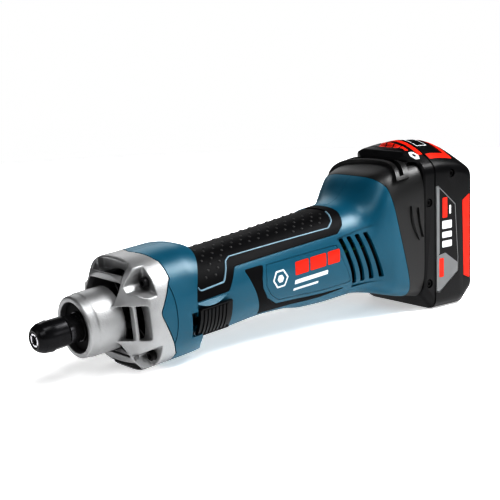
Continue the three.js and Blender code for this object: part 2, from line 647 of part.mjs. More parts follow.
function packBody(inset = 0) {
  const grow = (side, crown, bottom = PACK_BOTTOM, half = PACK_HALF) => ({
    side: side - inset, crown: crown - inset, bottom: bottom + inset, half: half - inset,
  });
  return lofted([
    packRing(PACK_SHOULDER + inset, grow(79.5, PACK_CROWN - 1.4, PACK_BOTTOM + 12.5)),
    packRing(PACK_SPLIT + inset, grow(79.8, PACK_CROWN - 0.4)),
    packRing(334, grow(80, PACK_CROWN)),
    packRing(348, grow(79, PACK_CROWN - 1.8)),
    packRing(358.6, grow(77.4, PACK_CROWN - 5.6)),
    packRing(PACK_REAR - 1.2 - inset, grow(73.6, PACK_CROWN - 11.4, PACK_BOTTOM + 8)),
    packRing(PACK_REAR - inset, grow(72, PACK_CROWN - 12.6, PACK_BOTTOM + 9.6, PACK_HALF - 1.2)),
  ]);
}

const HEAD_HALF = 27.5;
function packHead() {
  const side = [
    [TONGUE_FRONT, 84.5], [TONGUE_FRONT, 90.6], [TONGUE_FRONT + 2, 93], [PACK_SHOULDER + 6, 97.4],
    [PACK_SHOULDER + 6, 70], [PACK_SHOULDER - 0.2, 70], [PACK_SHOULDER - 0.2, 84.5],
  ];
  const arch = packRing(TONGUE_FRONT - 5, { side: 80, crown: PACK_CROWN - 0.6 });
  const roof = lofted([arch, arch.map(([x, y, z]) => [x + 40, y, z])]);
  const plan = sweptAlongZ([
    [TONGUE_FRONT, -HEAD_HALF + 6], [TONGUE_FRONT + 7, -HEAD_HALF], [330, -HEAD_HALF], [330, HEAD_HALF],
    [TONGUE_FRONT + 7, HEAD_HALF], [TONGUE_FRONT, HEAD_HALF - 6],
  ], [60, 120]);
  return common(sweptAlongY(side, [-HEAD_HALF, HEAD_HALF]), roof, plan);
}

const BUTTON = { x: [329, 354], half: 31 };
const WELL_FLOOR = 74;
const GAUGE = { x: [331.5, 339.5], y: [-15, -4] };
const LABEL = [
  [327.7, 65], [331, 65.4], [350.4, 49.4], [353.6, 7], [353.6, -4.4], [332.4, -18.4], [327.7, -17.6],
];
const STRIP = [[357.6, 51], [366.6, 56.4], [366.6, -11.8], [359, -8.6]];
const PACK_SCREWS = [[320.6, 53.2], [320.6, -9.4]];

function addPack() {
  const outer = packBody();
  const inner = packBody(PACK_WALL);
  const frontOf = (x) => block([280, x], [-60, 60], [-60, 120]);
  const rearOf = (x) => block([x, 400], [-60, 60], [-60, 120]);

  // the sliding tongue: a wide rail ahead of a narrower neck, slotted from below for the terminals
  const tongue = join(
    block([TONGUE_FRONT, 308.7], [-TONGUE_HALF, TONGUE_HALF], [TONGUE_BOTTOM, 84.7]),
    block([308, PACK_SHOULDER + 3], [-TONGUE_NECK, TONGUE_NECK], [TONGUE_BOTTOM, 84.7]),
  );
  const terminalSlots = [-8.6, 0, 8.6].map((y) => block([300, 313.5], [y - 1.4, y + 1.4], [-60, 12]));

  const buttonWell = (by) => block(
    [BUTTON.x[0] - by, BUTTON.x[1] + by], [-BUTTON.half - by, BUTTON.half + by], [WELL_FLOOR - by, 120],
  );
  const labelBeds = [[-60, -PACK_HALF + 0.9], [PACK_HALF - 0.9, 60]].map((span) => sweptAlongY(LABEL, span));
  const stripBeds = [[-60, -PACK_HALF + 1.3], [PACK_HALF - 1.3, 60]].map((span) => sweptAlongY(STRIP, span));
  const screwPockets = PACK_SCREWS.flatMap((place) => [[-60, -PACK_HALF + 3], [PACK_HALF - 3, 60]]
    .map((span) => crossRod(3.4, place, span)));
  const shell = cut(outer, inner, buttonWell(GAP));
  const well = cut(common(buttonWell(1.6), outer), buttonWell(GAP));

  const rear = cut(common(join(shell, well), rearOf(PACK_SPLIT + GAP / 2)), ...labelBeds, ...stripBeds);
  add(pack, 'pack_rear_case', rear, 'blackPlastic');
  const frontShell = common(shell, frontOf(PACK_SPLIT - GAP / 2));
  const screwBosses = PACK_SCREWS.flatMap((place) => [[-PACK_HALF + 1, -26], [26, PACK_HALF - 1]]
    .map((span) => crossRod(4.8, place, span)));
  const screwBores = PACK_SCREWS.flatMap((place) => [[-60, -24], [24, 60]]
    .map((span) => crossRod(1.9, place, span)));
  const front = cut(
    join(frontShell, tongue, packHead(), ...screwBosses), ...terminalSlots, ...screwPockets, ...screwBores,
    ...labelBeds, rearOf(PACK_SPLIT - GAP / 2),
  );
  add(pack, 'pack_front_case', front, 'blackPlastic');

  PACK_SCREWS.forEach((place, i) => {
    [['left', -1], ['right', 1]].forEach(([sideName, side]) => {
      const screw = socketScrew(2.8, 1.5, 2, 8).rotateZ(side > 0 ? -Math.PI / 2 : Math.PI / 2)
        .translate(place[0], side * (PACK_HALF - 3 + GAP), place[1]);
      add(pack, `pack_screw_${sideName}_${i + 1}`, screw, 'blackScrew');
    });
  });

  [['left', -1], ['right', 1]].forEach(([sideName, side]) => {
    const facing = (points, thick) =>
      sweptAlongY(shrunk(points, GAP), [side * PACK_HALF, side * (PACK_HALF - thick)].sort((a, b) => a - b));
    add(pack, `pack_label_${sideName}`, facing(LABEL, 0.6), 'greyPlastic');
    add(pack, `pack_strip_${sideName}`, facing(STRIP, 1), 'redPlastic');
  });

  const gaugeWell = block(...[GAUGE.x, GAUGE.y].map(([a, b]) => [a - GAP, b + GAP]), [83, 120]);
  const button = cut(common(buttonWell(0), packBody(0), block([300, 400], [-60, 60], [79, 120])), gaugeWell);
  add(pack, 'release_button', button, 'redPlastic');
  const gauge = common(block(GAUGE.x, GAUGE.y, [84.4, 120]), packBody(0.4));
  add(pack, 'gauge_button', gauge, 'blackPlastic');
  const coil = new THREE.CatmullRomCurve3(Array.from({ length: 49 }, (_, i) => {
    const angle = (i / 48) * 8 * Math.PI;
    return new THREE.Vector3(344 + 3 * Math.cos(angle), 3 * Math.sin(angle), 74.4 + (3.9 * i) / 48);
  }));
  const wire = outline([[0.4, 0], [0, 0.4], [-0.4, 0], [0, -0.4]]);
  add(pack, 'latch_spring', new THREE.ExtrudeGeometry(wire, { steps: 48, extrudePath: coil }), 'groundSteel');

  [['front', 338.8], ['rear', 356.9]].forEach(([name, x]) => {
    const heights = [-14.6, 4, 22.6, 41.2, 59.8];
    const cells = heights.map((z) => crossRod(CELL_R, [x, z], [-CELL_LENGTH / 2, CELL_LENGTH / 2], 12));
    const ties = [[-32.8, -32], [32, 32.8]].map((span) =>
      block([x - 4, x + 4], span, [heights[0] - 4, heights.at(-1) + 4]));
    add(pack, `cell_row_${name}`, join(...cells, ...ties), 'cellSleeve');
  });
  const board = join(block([322, 323.6], [-24, 24], [-19, 66]), block([319, 322.4], [-12, 12], [20, 32]));
  add(pack, 'pack_board', board, 'circuit');
}

addNose();
addBearings();
addFlange();
addFlangeScrews();
addHousing();
addHousingScrews();
addGripAndPlates();
addTailRing();
addSwitch();
addElectrics();
addMotor();
addPack();

export default tool;
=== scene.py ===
"""A cordless die grinder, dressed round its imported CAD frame.

Shapes are drawn in millimetres. Barrel pieces use the barrel's own frame: x runs back along the
spindle from the nut's front face, y to the tool's right and z up. Pack pieces use the stand frame,
which shares that origin but is level. BARREL and STAND turn both into metres in the row frame.
"""

import json
import math

import bpy
import bmesh
from mathutils import Euler, Matrix, Vector


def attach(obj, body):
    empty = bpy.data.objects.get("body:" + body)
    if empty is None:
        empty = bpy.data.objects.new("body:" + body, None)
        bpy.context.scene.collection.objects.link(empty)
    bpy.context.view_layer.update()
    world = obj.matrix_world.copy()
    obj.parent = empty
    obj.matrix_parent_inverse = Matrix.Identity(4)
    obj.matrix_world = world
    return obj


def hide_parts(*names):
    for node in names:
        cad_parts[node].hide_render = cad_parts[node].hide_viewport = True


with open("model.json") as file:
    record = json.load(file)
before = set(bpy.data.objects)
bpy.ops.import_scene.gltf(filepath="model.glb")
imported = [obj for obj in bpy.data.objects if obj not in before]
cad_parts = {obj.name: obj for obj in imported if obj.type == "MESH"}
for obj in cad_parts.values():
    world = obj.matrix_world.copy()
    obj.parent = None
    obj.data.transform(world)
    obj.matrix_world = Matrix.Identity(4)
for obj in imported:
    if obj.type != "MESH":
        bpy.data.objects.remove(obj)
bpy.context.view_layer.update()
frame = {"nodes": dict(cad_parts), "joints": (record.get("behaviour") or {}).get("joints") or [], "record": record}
scene = bpy.context.scene

spin = next(joint for joint in frame["joints"] if joint["name"] == "spindle_spin")
ORIGIN = Vector(spin["pos_m"])
TILT = math.asin(spin["axis"][2])
STAND = Matrix.Translation(ORIGIN) @ Matrix.Scale(0.001, 4)
BARREL = Matrix.Translation(ORIGIN) @ Matrix.Rotation(-TILT, 4, "Y") @ Matrix.Scale(0.001, 4)
LEVEL = Matrix.Rotation(TILT, 4, "Y")  # from the stand frame into the barrel's
FLOOR = -ORIGIN.z * 1000

# ---------------------------------------------------------------- camera, light and floor

camera = bpy.data.objects.new("camera", bpy.data.cameras.new("camera"))
scene.collection.objects.link(camera)
scene.camera = camera
camera.data.lens = 88.79
camera.data.sensor_width = 36
camera_turn = Euler([math.radians(angle) for angle in (79.3636, 1.8384, -38.9368)])
camera.matrix_world = Matrix.LocRotScale(Vector((-0.54544, -0.67373, 0.22561)), camera_turn, None)


def soft_light(name, place, aim, size, watts):
    """A square white area light at place, turned towards aim."""
    data = bpy.data.lights.new(name, "AREA")
    data.size = size
    data.energy = watts
    light = bpy.data.objects.new(name, data)
    light.location = place
    light.rotation_euler = (Vector(aim) - Vector(place)).to_track_quat("-Z", "Y").to_euler()
    scene.collection.objects.link(light)


soft_light("panel", (0.68, -0.48, 1.04), (0.0, 0, 0.03), 0.62, 24)
soft_light("crown", (-0.24, -0.4, 1.25), (0.05, 0, 0.05), 0.5, 7)
soft_light("key", (-0.75, -0.75, 1.0), (-0.05, 0, 0.05), 0.45, 4.2)
soft_light("side", (0.45, -1.35, 0.5), (0.03, 0, 0.06), 0.5, 3.5)
soft_light("nose", (-1.3, 0.25, 0.5), (-0.1, 0, 0.04), 0.5, 2.4)
soft_light("back", (0.5, 1.1, 0.7), (0, 0, 0.06), 0.7, 3.5)

# the studio is white round the horizon and dim overhead
world = bpy.data.worlds.new("studio")
world.use_nodes = True
sky = world.node_tree
heading = sky.nodes.new("ShaderNodeTexCoord")
split = sky.nodes.new("ShaderNodeSeparateXYZ")
dome = sky.nodes.new("ShaderNodeMapRange")
dome.interpolation_type = "SMOOTHSTEP"
for socket, value in (("From Min", 0.2), ("From Max", 0.36), ("To Min", 1.0), ("To Max", 0.14)):
    dome.inputs[socket].default_value = value
sky.links.new(heading.outputs["Generated"], split.inputs["Vector"])
sky.links.new(split.outputs["Z"], dome.inputs["Value"])
path = sky.nodes.new("ShaderNodeLightPath")
share = sky.nodes.new("ShaderNodeMapRange")  # what lights the tool is dimmer than what is seen behind it
share.inputs["To Min"].default_value = 0.18
sky.links.new(path.outputs["Is Camera Ray"], share.inputs["Value"])
level = sky.nodes.new("ShaderNodeMath")
level.operation = "MULTIPLY"
sky.links.new(dome.outputs["Result"], level.inputs[0])
sky.links.new(share.outputs["Result"], level.inputs[1])
sky.links.new(level.outputs["Value"], sky.nodes["Background"].inputs["Strength"])
sky.nodes["Background"].inputs["Color"].default_value = (1, 1, 1, 1)
scene.world = world
scene.view_settings.view_transform = "Standard"
scene.view_settings.gamma = 0.66

# ---------------------------------------------------------------- materials


def link_nodes(tree, source, output, target, socket):
    tree.links.new(source.outputs[output], target.inputs[socket])


def surface(name, colour, rough, metal=0.0, grain=(2200, 0.12), mottle=(60, 0.12), streak=None,
            gloss=0.3, glow=0.0):
    """A procedural finish: grain is its fine relief (scale, height) and mottle its colour change.

    streak is the axis that a ground or turned surface's fine lines run round."""
    material = bpy.data.materials.new(name)
    material.use_nodes = True
    tree = material.node_tree
    shader = tree.nodes["Principled BSDF"]
    shader.inputs["Metallic"].default_value = metal
    shader.inputs["Specular IOR Level"].default_value = gloss
    shader.inputs["Emission Color"].default_value = (1, 1, 1, 1)
    shader.inputs["Emission Strength"].default_value = glow
    place = tree.nodes.new("ShaderNodeTexCoord")

    blotch = tree.nodes.new("ShaderNodeTexNoise")
    blotch.inputs["Scale"].default_value = mottle[0]
    blotch.inputs["Detail"].default_value = 5
    link_nodes(tree, place, "Object", blotch, "Vector")
    tint = tree.nodes.new("ShaderNodeValToRGB")
    for stop, share in zip(tint.color_ramp.elements, (1 - mottle[1], 1 + mottle[1])):
        stop.color = (*[min(1.0, channel * share) for channel in colour], 1)
    tint.color_ramp.elements[0].position = 0.3
    tint.color_ramp.elements[1].position = 0.7
    link_nodes(tree, blotch, "Fac", tint, "Fac")
    link_nodes(tree, tint, "Color", shader, "Base Color")

    spread = tree.nodes.new("ShaderNodeMapRange")
    spread.inputs["To Min"].default_value = max(0.03, rough - 0.06)
    spread.inputs["To Max"].default_value = min(1.0, rough + 0.08)
    link_nodes(tree, blotch, "Fac", spread, "Value")
    link_nodes(tree, spread, "Result", shader, "Roughness")

    fine = tree.nodes.new("ShaderNodeTexNoise")
    fine.inputs["Scale"].default_value = grain[0]
    fine.inputs["Detail"].default_value = 3
    source, output = place, "Object"
    if streak:
        source, output = tree.nodes.new("ShaderNodeMapping"), "Vector"
        source.inputs["Scale"].default_value = [1 if axis == streak else 0.02 for axis in "XYZ"]
        link_nodes(tree, place, "Object", source, "Vector")
    link_nodes(tree, source, output, fine, "Vector")
    bump = tree.nodes.new("ShaderNodeBump")
    bump.inputs["Strength"].default_value = grain[1]
    bump.inputs["Distance"].default_value = 0.0004
    link_nodes(tree, fine, "Fac", bump, "Height")
    link_nodes(tree, bump, "Normal", shader, "Normal")
    return material


# colour, roughness, metalness, grain, mottle, streak and gloss
FINISHES = {
    "cast_aluminium": ((0.38, 0.383, 0.387), 0.44, 0.8, (900, 0.35), (45, 0.08)),
    "blackened_steel": ((0.012, 0.012, 0.014), 0.24, 0.3, (1800, 0.05), (90, 0.25)),
    # painted shade: this steel is darkened to stand in for the shade inside the collar's bore
    "bore_shade_steel": ((0.09, 0.09, 0.095), 0.22, 0.9, (2400, 0.12), (80, 0.1), "X"),
    "ground_steel": ((0.5, 0.5, 0.52), 0.24, 1.0, (2400, 0.12), (80, 0.1), "X"),
    "screw_steel": ((0.012, 0.012, 0.013), 0.32, 0.4, (2600, 0.08), (150, 0.3)),
    "blue_plastic": ((0.0018, 0.094, 0.148), 0.35, 0.0, (2600, 0.08), (30, 0.06), None, 0.5),
    "black_rubber": ((0.004, 0.004, 0.005), 0.5, 0.0, (2200, 0.16), (70, 0.2), None, 0.12),
    "ring_rubber": ((0.006, 0.006, 0.0064), 0.42, 0.0, (2400, 0.1), (50, 0.2), None, 0.65),
    "black_plastic": ((0.003, 0.003, 0.004), 0.32, 0.0, (3000, 0.12), (60, 0.2), None, 0.3),
    "grey_plastic": ((0.2, 0.205, 0.21), 0.4, 0.0, (2600, 0.06), (80, 0.06)),
    "white_print": ((0.62, 0.63, 0.64), 0.45, 0.0, (2600, 0.04), (120, 0.04)),
    # painted highlight: the grip's blue plastic piping, coloured much paler than the housing's blue to stand in
    # for its edge highlight
    "blue_piping_highlight": ((0.19, 0.29, 0.35), 0.35, 0.0, (2600, 0.05), (90, 0.1)),
    "red_plastic": ((0.62, 0.03, 0.01), 0.36, 0.0, (2600, 0.06), (60, 0.06)),
    "copper": ((0.5, 0.16, 0.05), 0.32, 0.95, (700, 0.5), (160, 0.25), "X"),
    "ferrite": ((0.05, 0.05, 0.053), 0.75, 0.0, (1200, 0.3), (90, 0.2)),
    "laminated_steel": ((0.26, 0.26, 0.27), 0.42, 0.9, (1400, 0.4), (100, 0.15), "X"),
    "circuit_board": ((0.012, 0.15, 0.045), 0.35, 0.0, (900, 0.2), (420, 0.5)),
    "carbon": ((0.028, 0.028, 0.03), 0.8, 0.0, (1600, 0.4), (200, 0.3)),
    "cell_sleeve": ((0.02, 0.2, 0.15), 0.35, 0.0, (1800, 0.08), (40, 0.15)),
}
LOOKS = {name: surface(name, *finish) for name, finish in FINISHES.items()}

slot_of = {part["node"]: part["material_slot"] for part in frame["record"]["subparts"]}
# painted shade: the bearing retainer and bearing ring sit deep in the collar's bore and take the darkened steel
slot_of.update(bearing_retainer="bore_shade_steel", front_bearing_outer_ring="bore_shade_steel")
for node, item in frame["nodes"].items():
    item.data.materials.clear()
    item.data.materials.append(LOOKS[slot_of[node]])

# ---------------------------------------------------------------- solids, in millimetres

FINE = 96  # points round a barrel section
WIDE = (-60, 60)  # a span that reaches past the tool on both sides


def linked(mesh):
    item = bpy.data.objects.new("solid", mesh)
    scene.collection.objects.link(item)
    return item


def solid(vertices, faces):
    mesh = bpy.data.meshes.new("solid")
    mesh.from_pydata([tuple(v) for v in vertices], [], faces)
    shape = bmesh.new()
    shape.from_mesh(mesh)
    bmesh.ops.remove_doubles(shape, verts=shape.verts, dist=1e-4)
    bmesh.ops.recalc_face_normals(shape, faces=shape.faces)
    shape.to_mesh(mesh)
    shape.free()
    return linked(mesh)


def discard(*items):
    for item in items:
        mesh = item.data
        bpy.data.objects.remove(item)
        bpy.data.meshes.remove(mesh)


def evaluated(item):
    """The item's mesh with its modifiers applied, as a new item that takes its place."""
    graph = bpy.context.evaluated_depsgraph_get()
    result = linked(bpy.data.meshes.new_from_object(item.evaluated_get(graph), depsgraph=graph))
    discard(item)
    return result


def combined(base, operation, tools):
    for tool in tools:
        modifier = base.modifiers.new("combine", "BOOLEAN")
        modifier.operation = operation
        modifier.object = tool
        modifier.solver = "MANIFOLD"
    result = evaluated(base)
    discard(*tools)
    return result


def cut(base, *tools):
    return combined(base, "DIFFERENCE", tools)


def join(base, *tools):
    return combined(base, "UNION", tools)


def common(base, *tools):
    return combined(base, "INTERSECT", tools)


def moved(item, matrix):
    item.data.transform(matrix)
    return item


def loft(rings):
    """A closed body through rings of equal count."""
    count = len(rings[0])
    vertices = [point for ring in rings for point in ring]
    faces = []
    for row in range(len(rings) - 1):
        for j in range(count):
            a, b = row * count + j, row * count + (j + 1) % count
            faces.append((a, b, b + count, a + count))
    last = (len(rings) - 1) * count
    faces.append(tuple(reversed(range(count))))
    faces.append(tuple(range(last, last + count)))
    return solid(vertices, faces)


def rounded(points, radius, steps=4):
    """A closed outline with each corner turned into an arc, of a smaller radius where its sides are short."""
    result = []
    for i, corner in enumerate(points):
        here = Vector(corner)
        before = Vector(points[i - 1]) - here
        after = Vector(points[(i + 1) % len(points)]) - here
        angle = before.angle(after)
        if angle > math.pi - 0.05:
            result.append(tuple(here))
            continue
        reach = min(radius / math.tan(angle / 2), before.length * 0.45, after.length * 0.45)
        start, end = here + before.normalized() * reach, here + after.normalized() * reach
        for k in range(steps + 1):
            t = k / steps
            point = start * (1 - t) ** 2 + here * 2 * t * (1 - t) + end * t * t
            result.append(tuple(point))
    return result


def prism_x(outline, span):
    return loft([[(x, y, z) for y, z in outline] for x in span])


def prism_y(outline, span):
    return loft([[(x, y, z) for x, z in outline] for y in span])


def prism_z(outline, span):
    return loft([[(x, y, z) for x, y in outline] for z in span])


def block(xs, ys, zs, edge=0.0):
    outline = [(xs[0], ys[0]), (xs[1], ys[0]), (xs[1], ys[1]), (xs[0], ys[1])]
    return prism_z(rounded(outline, edge) if edge else outline, zs)


def turned(profile, segments=FINE):
    """A body of revolution about the spindle line from a closed [x, radius] outline."""
    rings = []
    for k in range(segments):
        angle = 2 * math.pi * k / segments
        rings.append([(x, r * math.cos(angle), r * math.sin(angle)) for x, r in profile])
    count = len(profile)
    vertices = [point for ring in rings for point in ring]
    faces = []
    for k in range(segments):
        a0, b0 = k * count, ((k + 1) % segments) * count
        for j in range(count):
            n = (j + 1) % count
            if profile[j][1] == 0 and profile[n][1] == 0:
                continue
            corners = [a0 + j, a0 + n, b0 + n, b0 + j]
            if profile[j][1] == 0:
                corners.pop(3)
            elif profile[n][1] == 0:
                corners.pop(2)
            faces.append(tuple(corners))
    return solid(vertices, faces)


def rod_x(radius, span, at=(0, 0), segments=32):
    outline = [(at[0] + radius * math.cos(2 * math.pi * k / segments),
                at[1] + radius * math.sin(2 * math.pi * k / segments)) for k in range(segments)]
    return prism_x(outline, span)


def rod_y(radius, at, span, segments=32):
    outline = [(at[0] + radius * math.cos(2 * math.pi * k / segments),
                at[1] + radius * math.sin(2 * math.pi * k / segments)) for k in range(segments)]
    return prism_y(outline, span)


def sector(radii, angles, span, steps=16):
    """Part of a tube; angles in degrees from the left side (-y) up towards +z."""
    arc = [math.radians(angles[0] + (angles[1] - angles[0]) * k / steps) for k in range(steps + 1)]
    outline = [(-radii[1] * math.cos(a), radii[1] * math.sin(a)) for a in arc]
    outline += [(-radii[0] * math.cos(a), radii[0] * math.sin(a)) for a in reversed(arc)]
    return prism_x(outline, span)


def finished(item, name, look, body, replaced=(), matrix=BARREL, slot=None, sharp=35):
    """The item becomes a named piece of the tool, in the row frame."""
    item.data.transform(matrix)
    item.name = name
    item.data.name = name
    item.data.materials.clear()
    item.data.materials.append(LOOKS[look])
    for polygon in item.data.polygons:
        polygon.use_smooth = True
        polygon.material_index = 0
    item.data.set_sharp_from_angle(angle=math.radians(sharp))
    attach(item, body)
    if replaced:
        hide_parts(*replaced)
    slot or look


# ---------------------------------------------------------------- the housing's outline

GAP = 0.3
WALL = 2.6
GRIP_DEPTH = 1.6
PLATE_DEPTH = 0.9
RING_DEPTH = 3.2
FLANGE_REAR = 85

# [x, top, bottom, half width, power]
FRONT = [
    (66, 39.2, -38.6, 38.6, 2.45), (101, 39.2, -38.2, 38.4, 2.45), (109, 38.2, -38, 37.8, 2.4),
    (116, 35.8, -37.4, 36.6, 2.4), (123, 33, -34, 34, 2.3),
]
HANDLE = [
    (96, 30, -31, 31.4, 2.2), (135, 29.6, -30.8, 31.4, 2.2), (165, 30.2, -29.8, 31.2, 2.2),
    (192, 30.8, -31.4, 31.2, 2.25), (212, 31.4, -35.2, 31.5, 2.3), (236, 32, -36.6, 32.2, 2.4),
    (256, 32.6, -36.8, 33.6, 2.4), (264, 34.8, -38, 34.8, 2.4), (271, 39.8, -39.4, 36, 2.7),
    (278, 46.6, -41, 37.2, 3.4), (286, 51, -43.6, 38, 4.6), (300, 53.2, -48.2, 38, 5.4),
    (325, 54.2, -54, 38, 5.4),
]


def station_at(stations, x):
    """The section at x, on a monotone cubic through the stations."""
    i = max(k for k in range(len(stations) - 1) if stations[k][0] <= x or k == 0)
    width = stations[i + 1][0] - stations[i][0]
    t = min(1, max(0, (x - stations[i][0]) / width))

    def slope(k, column):
        if k <= 0 or k >= len(stations) - 1:
            return 0
        rises = [(stations[m + 1][column] - stations[m][column]) / (stations[m + 1][0] - stations[m][0])
                 for m in (k - 1, k)]
        if rises[0] * rises[1] <= 0:
            return 0
        return 2 * rises[0] * rises[1] / (rises[0] + rises[1])

    section = [x]
    for column in range(1, 5):
        low, high = stations[i][column], stations[i + 1][column]
        section.append(
            low * (2 * t ** 3 - 3 * t * t + 1) + high * (3 * t * t - 2 * t ** 3)
            + slope(i, column) * width * (t ** 3 - 2 * t * t + t)
            + slope(i + 1, column) * width * (t ** 3 - t * t))
    return section


def ring(section, inset=0.0, count=FINE):
    x, top, bottom, half, power = section
    points = []
    for k in range(count):
        angle = 2 * math.pi * (k + 0.5) / count
        c, s = math.cos(angle), math.sin(angle)
        reach = (top if s > 0 else -bottom) - inset
        points.append((x, (half - inset) * math.copysign(abs(c) ** (2 / power), c),
                       reach * math.copysign(abs(s) ** (2 / power), s)))
    return points


def skin(stations, inset=0.0, step=3.0):
    x0, x1 = stations[0][0], stations[-1][0]
    rows = max(2, round((x1 - x0) / step))
    return loft([ring(station_at(stations, x0 + (x1 - x0) * k / rows), inset) for k in range(rows + 1)])


def side_point(x, z, side, lift=0.0):
    """The point of the handle's surface at (x, z) on the given side, raised by lift."""
    _, top, bottom, half, power = station_at(HANDLE, x)
    reach = (top if z > 0 else -bottom) + lift
    share = min(1, abs(z) / reach)
    return Vector((x, side * (half + lift) * (1 - share ** power) ** (1 / power), z))


def top_point(x, angle, lift=0.0):
    """The point of the handle's surface at an angle in degrees from +y up over the top."""
    _, top, _, half, power = station_at(HANDLE, x)
    c, s = math.cos(math.radians(angle)), math.sin(math.radians(angle))
    return Vector((x, (half + lift) * math.copysign(abs(c) ** (2 / power), c),
                   (top + lift) * abs(s) ** (2 / power)))


def front_keep(shift=0.0):
    """Everything ahead of the front section's rear edge, which bows back to top and bottom."""
    edge = []
    for z in range(-42, 43, 3):
        bow = 0.0095 if z < 0 else 0.0135
        edge.append((101 + bow * z * z - shift, z))
    return prism_y([(50, 42), (50, -42)] + edge, (-50, 50))


def tongues(grow):
    """The pointed tongues where the flange and the housing meet on all four sides."""
    pieces = []
    for apex, top, bottom, prism in ((72.5, 24, -28, prism_y), (78, 24, -24, prism_z)):
        middle = 4 if prism is prism_y else 0
        rear = FLANGE_REAR
        outline = rounded([
            (apex - grow, middle), (rear - grow, top + grow), (rear + 30, top + grow),
            (rear + 30, bottom - grow), (rear - grow, bottom - grow)], 5)
        pieces += [prism(outline, (-60, -20)), prism(outline, (20, 60))]
    return pieces


def beyond(x0, x1, matrix=None):
    item = block((x0, x1), WIDE, (-140, 150))
    return moved(item, matrix) if matrix else item


def behind_tail():
    return beyond(315.2, 440, LEVEL)


def under_floor():
    return moved(block((-20, 400), WIDE, (FLOOR - 40, FLOOR)), LEVEL)


TAIL_SEAM = [(278, 70), (279.5, 54), (285, 42), (299, -39), (302, -70)]


def tail_region(shift=0.0):
    return prism_y([(x - shift, z) for x, z in TAIL_SEAM] + [(400, -70), (400, 70)], WIDE)


SCREW_CENTRES = [(-35.4 * math.cos(math.radians(a)), 35.4 * math.sin(math.radians(a)))
                 for a in (42, -48, 138, 228)]
CROSS_SCREWS = [(110, -30, 19), (216, -27.5, 15.2), (270, 29, 21)]  # x, z and the head's seat
PACK_SCREWS = [(320.6, 53.2), (320.6, -9.4)]  # x and z in the stand frame, on both sides
CHAMFER_SCREW = (346, 73.4)

GRIP_OUTLINE = [
    (104.5, 1.6), (133, 2.4), (142.5, 16.6), (237, 17.6), (244, 22), (250, 30), (250, 60), (124, 60),
    (122, 32), (112.5, 25), (105.5, 12),
]
GRIP_PANEL = [
    (109.4, 7.8), (130.5, 9), (138.5, 20.6), (143, 22.4), (232, 22.2), (238.5, 25.6), (243.5, 31),
    (243.5, 60), (108, 60), (108, 20),
]
PLATE_OUTLINE = [
    (168, 11.6), (232.6, 10.6), (238, -3.5), (245.6, -20.6), (219, -20.4), (178, -17), (169.5, -10.5),
    (165.5, -3), (166.5, 5),
]
INLAY_OUTLINE = [
    (149, 12.6), (165.6, 12.2), (162.6, 3), (162.4, -3.5), (166.6, -12), (176.6, -19.4), (219, -23.2),
    (246.4, -24), (219, -26), (176, -25), (163, -24.4), (155.4, -3),
]
SIDES = {"left": (-60, -8), "right": (8, 60)}
VENTS = {"count": 4, "first": 236.8, "pitch": 7.4}


def shrunk(points, by):
    """An outline drawn in by a distance, with mitred corners."""
    count = len(points)
    area = sum(points[i][0] * points[(i + 1) % count][1] - points[(i + 1) % count][0] * points[i][1]
               for i in range(count))
    turn = math.copysign(1, area)

    def inward(i):
        (x0, z0), (x1, z1) = points[i % count], points[(i + 1) % count]
        length = math.hypot(x1 - x0, z1 - z0)
        return -turn * (z1 - z0) / length, turn * (x1 - x0) / length

    result = []
    for i, (x, z) in enumerate(points):
        a, b = inward(i - 1), inward(i)
        mitre = by / (1 + a[0] * b[0] + a[1] * b[1])
        result.append((x + (a[0] + b[0]) * mitre, z + (a[1] + b[1]) * mitre))
    return result


def bed(region, depth):
    return cut(region, skin(HANDLE, depth + GAP))


def fill(region, depth, lift=0.0):
    """The layer of the handle's surface within a region, from depth below it to lift above it."""
    return common(cut(region, skin(HANDLE, depth)), skin(HANDLE, -lift))


def hexagon_at(x, y, radius):
    return [(x + radius * math.cos(math.radians(a)), y + radius * math.sin(math.radians(a)))
            for a in range(0, 360, 60)]


def grip_region(by=0.0):
    region = prism_y(rounded(shrunk(GRIP_OUTLINE, by), 3), WIDE)
    return cut(region, common(skin(FRONT, -by), front_keep(-by)))


def vents(span):
    slots = []
    for i in range(VENTS["count"]):
        x = VENTS["first"] + VENTS["pitch"] * i
        outline = [(x, 13.4), (x + 3.8, 13.4), (x + 15.8, -23.4), (x + 12.2, -23.4)]
        slots.append(prism_y(rounded(outline, 1), span))
    return slots


def vent_hollow(span):
    """The hollow round the vents, which rises to nothing at its rear."""
    floor_rows = [ring(station_at(HANDLE, x), max(0, 1.3 - abs(x - 238) / 30)) for x in range(205, 321, 3)]
    outline = [(234.6, 14.6), (276, 17.8), (284, -26.8), (248.6, -26.4), (244.8, -14), (240.4, -2)]
    return cut(prism_y(rounded(outline, 1.5), span), loft(floor_rows))


def halves(item):
    """The left and right halves of a body, a hair apart."""
    left = common(linked(item.data.copy()), block((0, 420), (-60, -GAP / 2), (-80, 130)))
    right = common(item, block((0, 420), (GAP / 2, 60), (-80, 130)))
    return {"left": left, "right": right}


def brow():
    """The lens-shaped facet that stands out over the thumb slide."""
    sections = []
    for k in range(17):
        t = 0.01 + 0.98 * k / 16
        swell = math.sin(math.pi * t ** 0.8)
        ridge_y, ridge_z = -31.3 - 3.8 * swell, 1.2 - 3.5 * swell
        sections.append([(104 + 28 * t, y, z) for y, z in (
            (-27, 1.2), (-31, 1.2), (ridge_y, ridge_z), (ridge_y + 1, ridge_z - 0.5), (-27, ridge_z - 0.6))])
    return loft(sections)


def creases():
    """A thin bowed crease near the front edge of the housing, on both sides."""
    arc = [(84.1 - 0.0065 * (z - 2) ** 2, z) for z in range(-30, 31, 4)]
    outline = arc + [(x + 0.7, z) for x, z in reversed(arc)]
    return [cut(prism_y(outline, span), skin(FRONT, 0.5)) for span in ((-60, -15), (15, 60))]


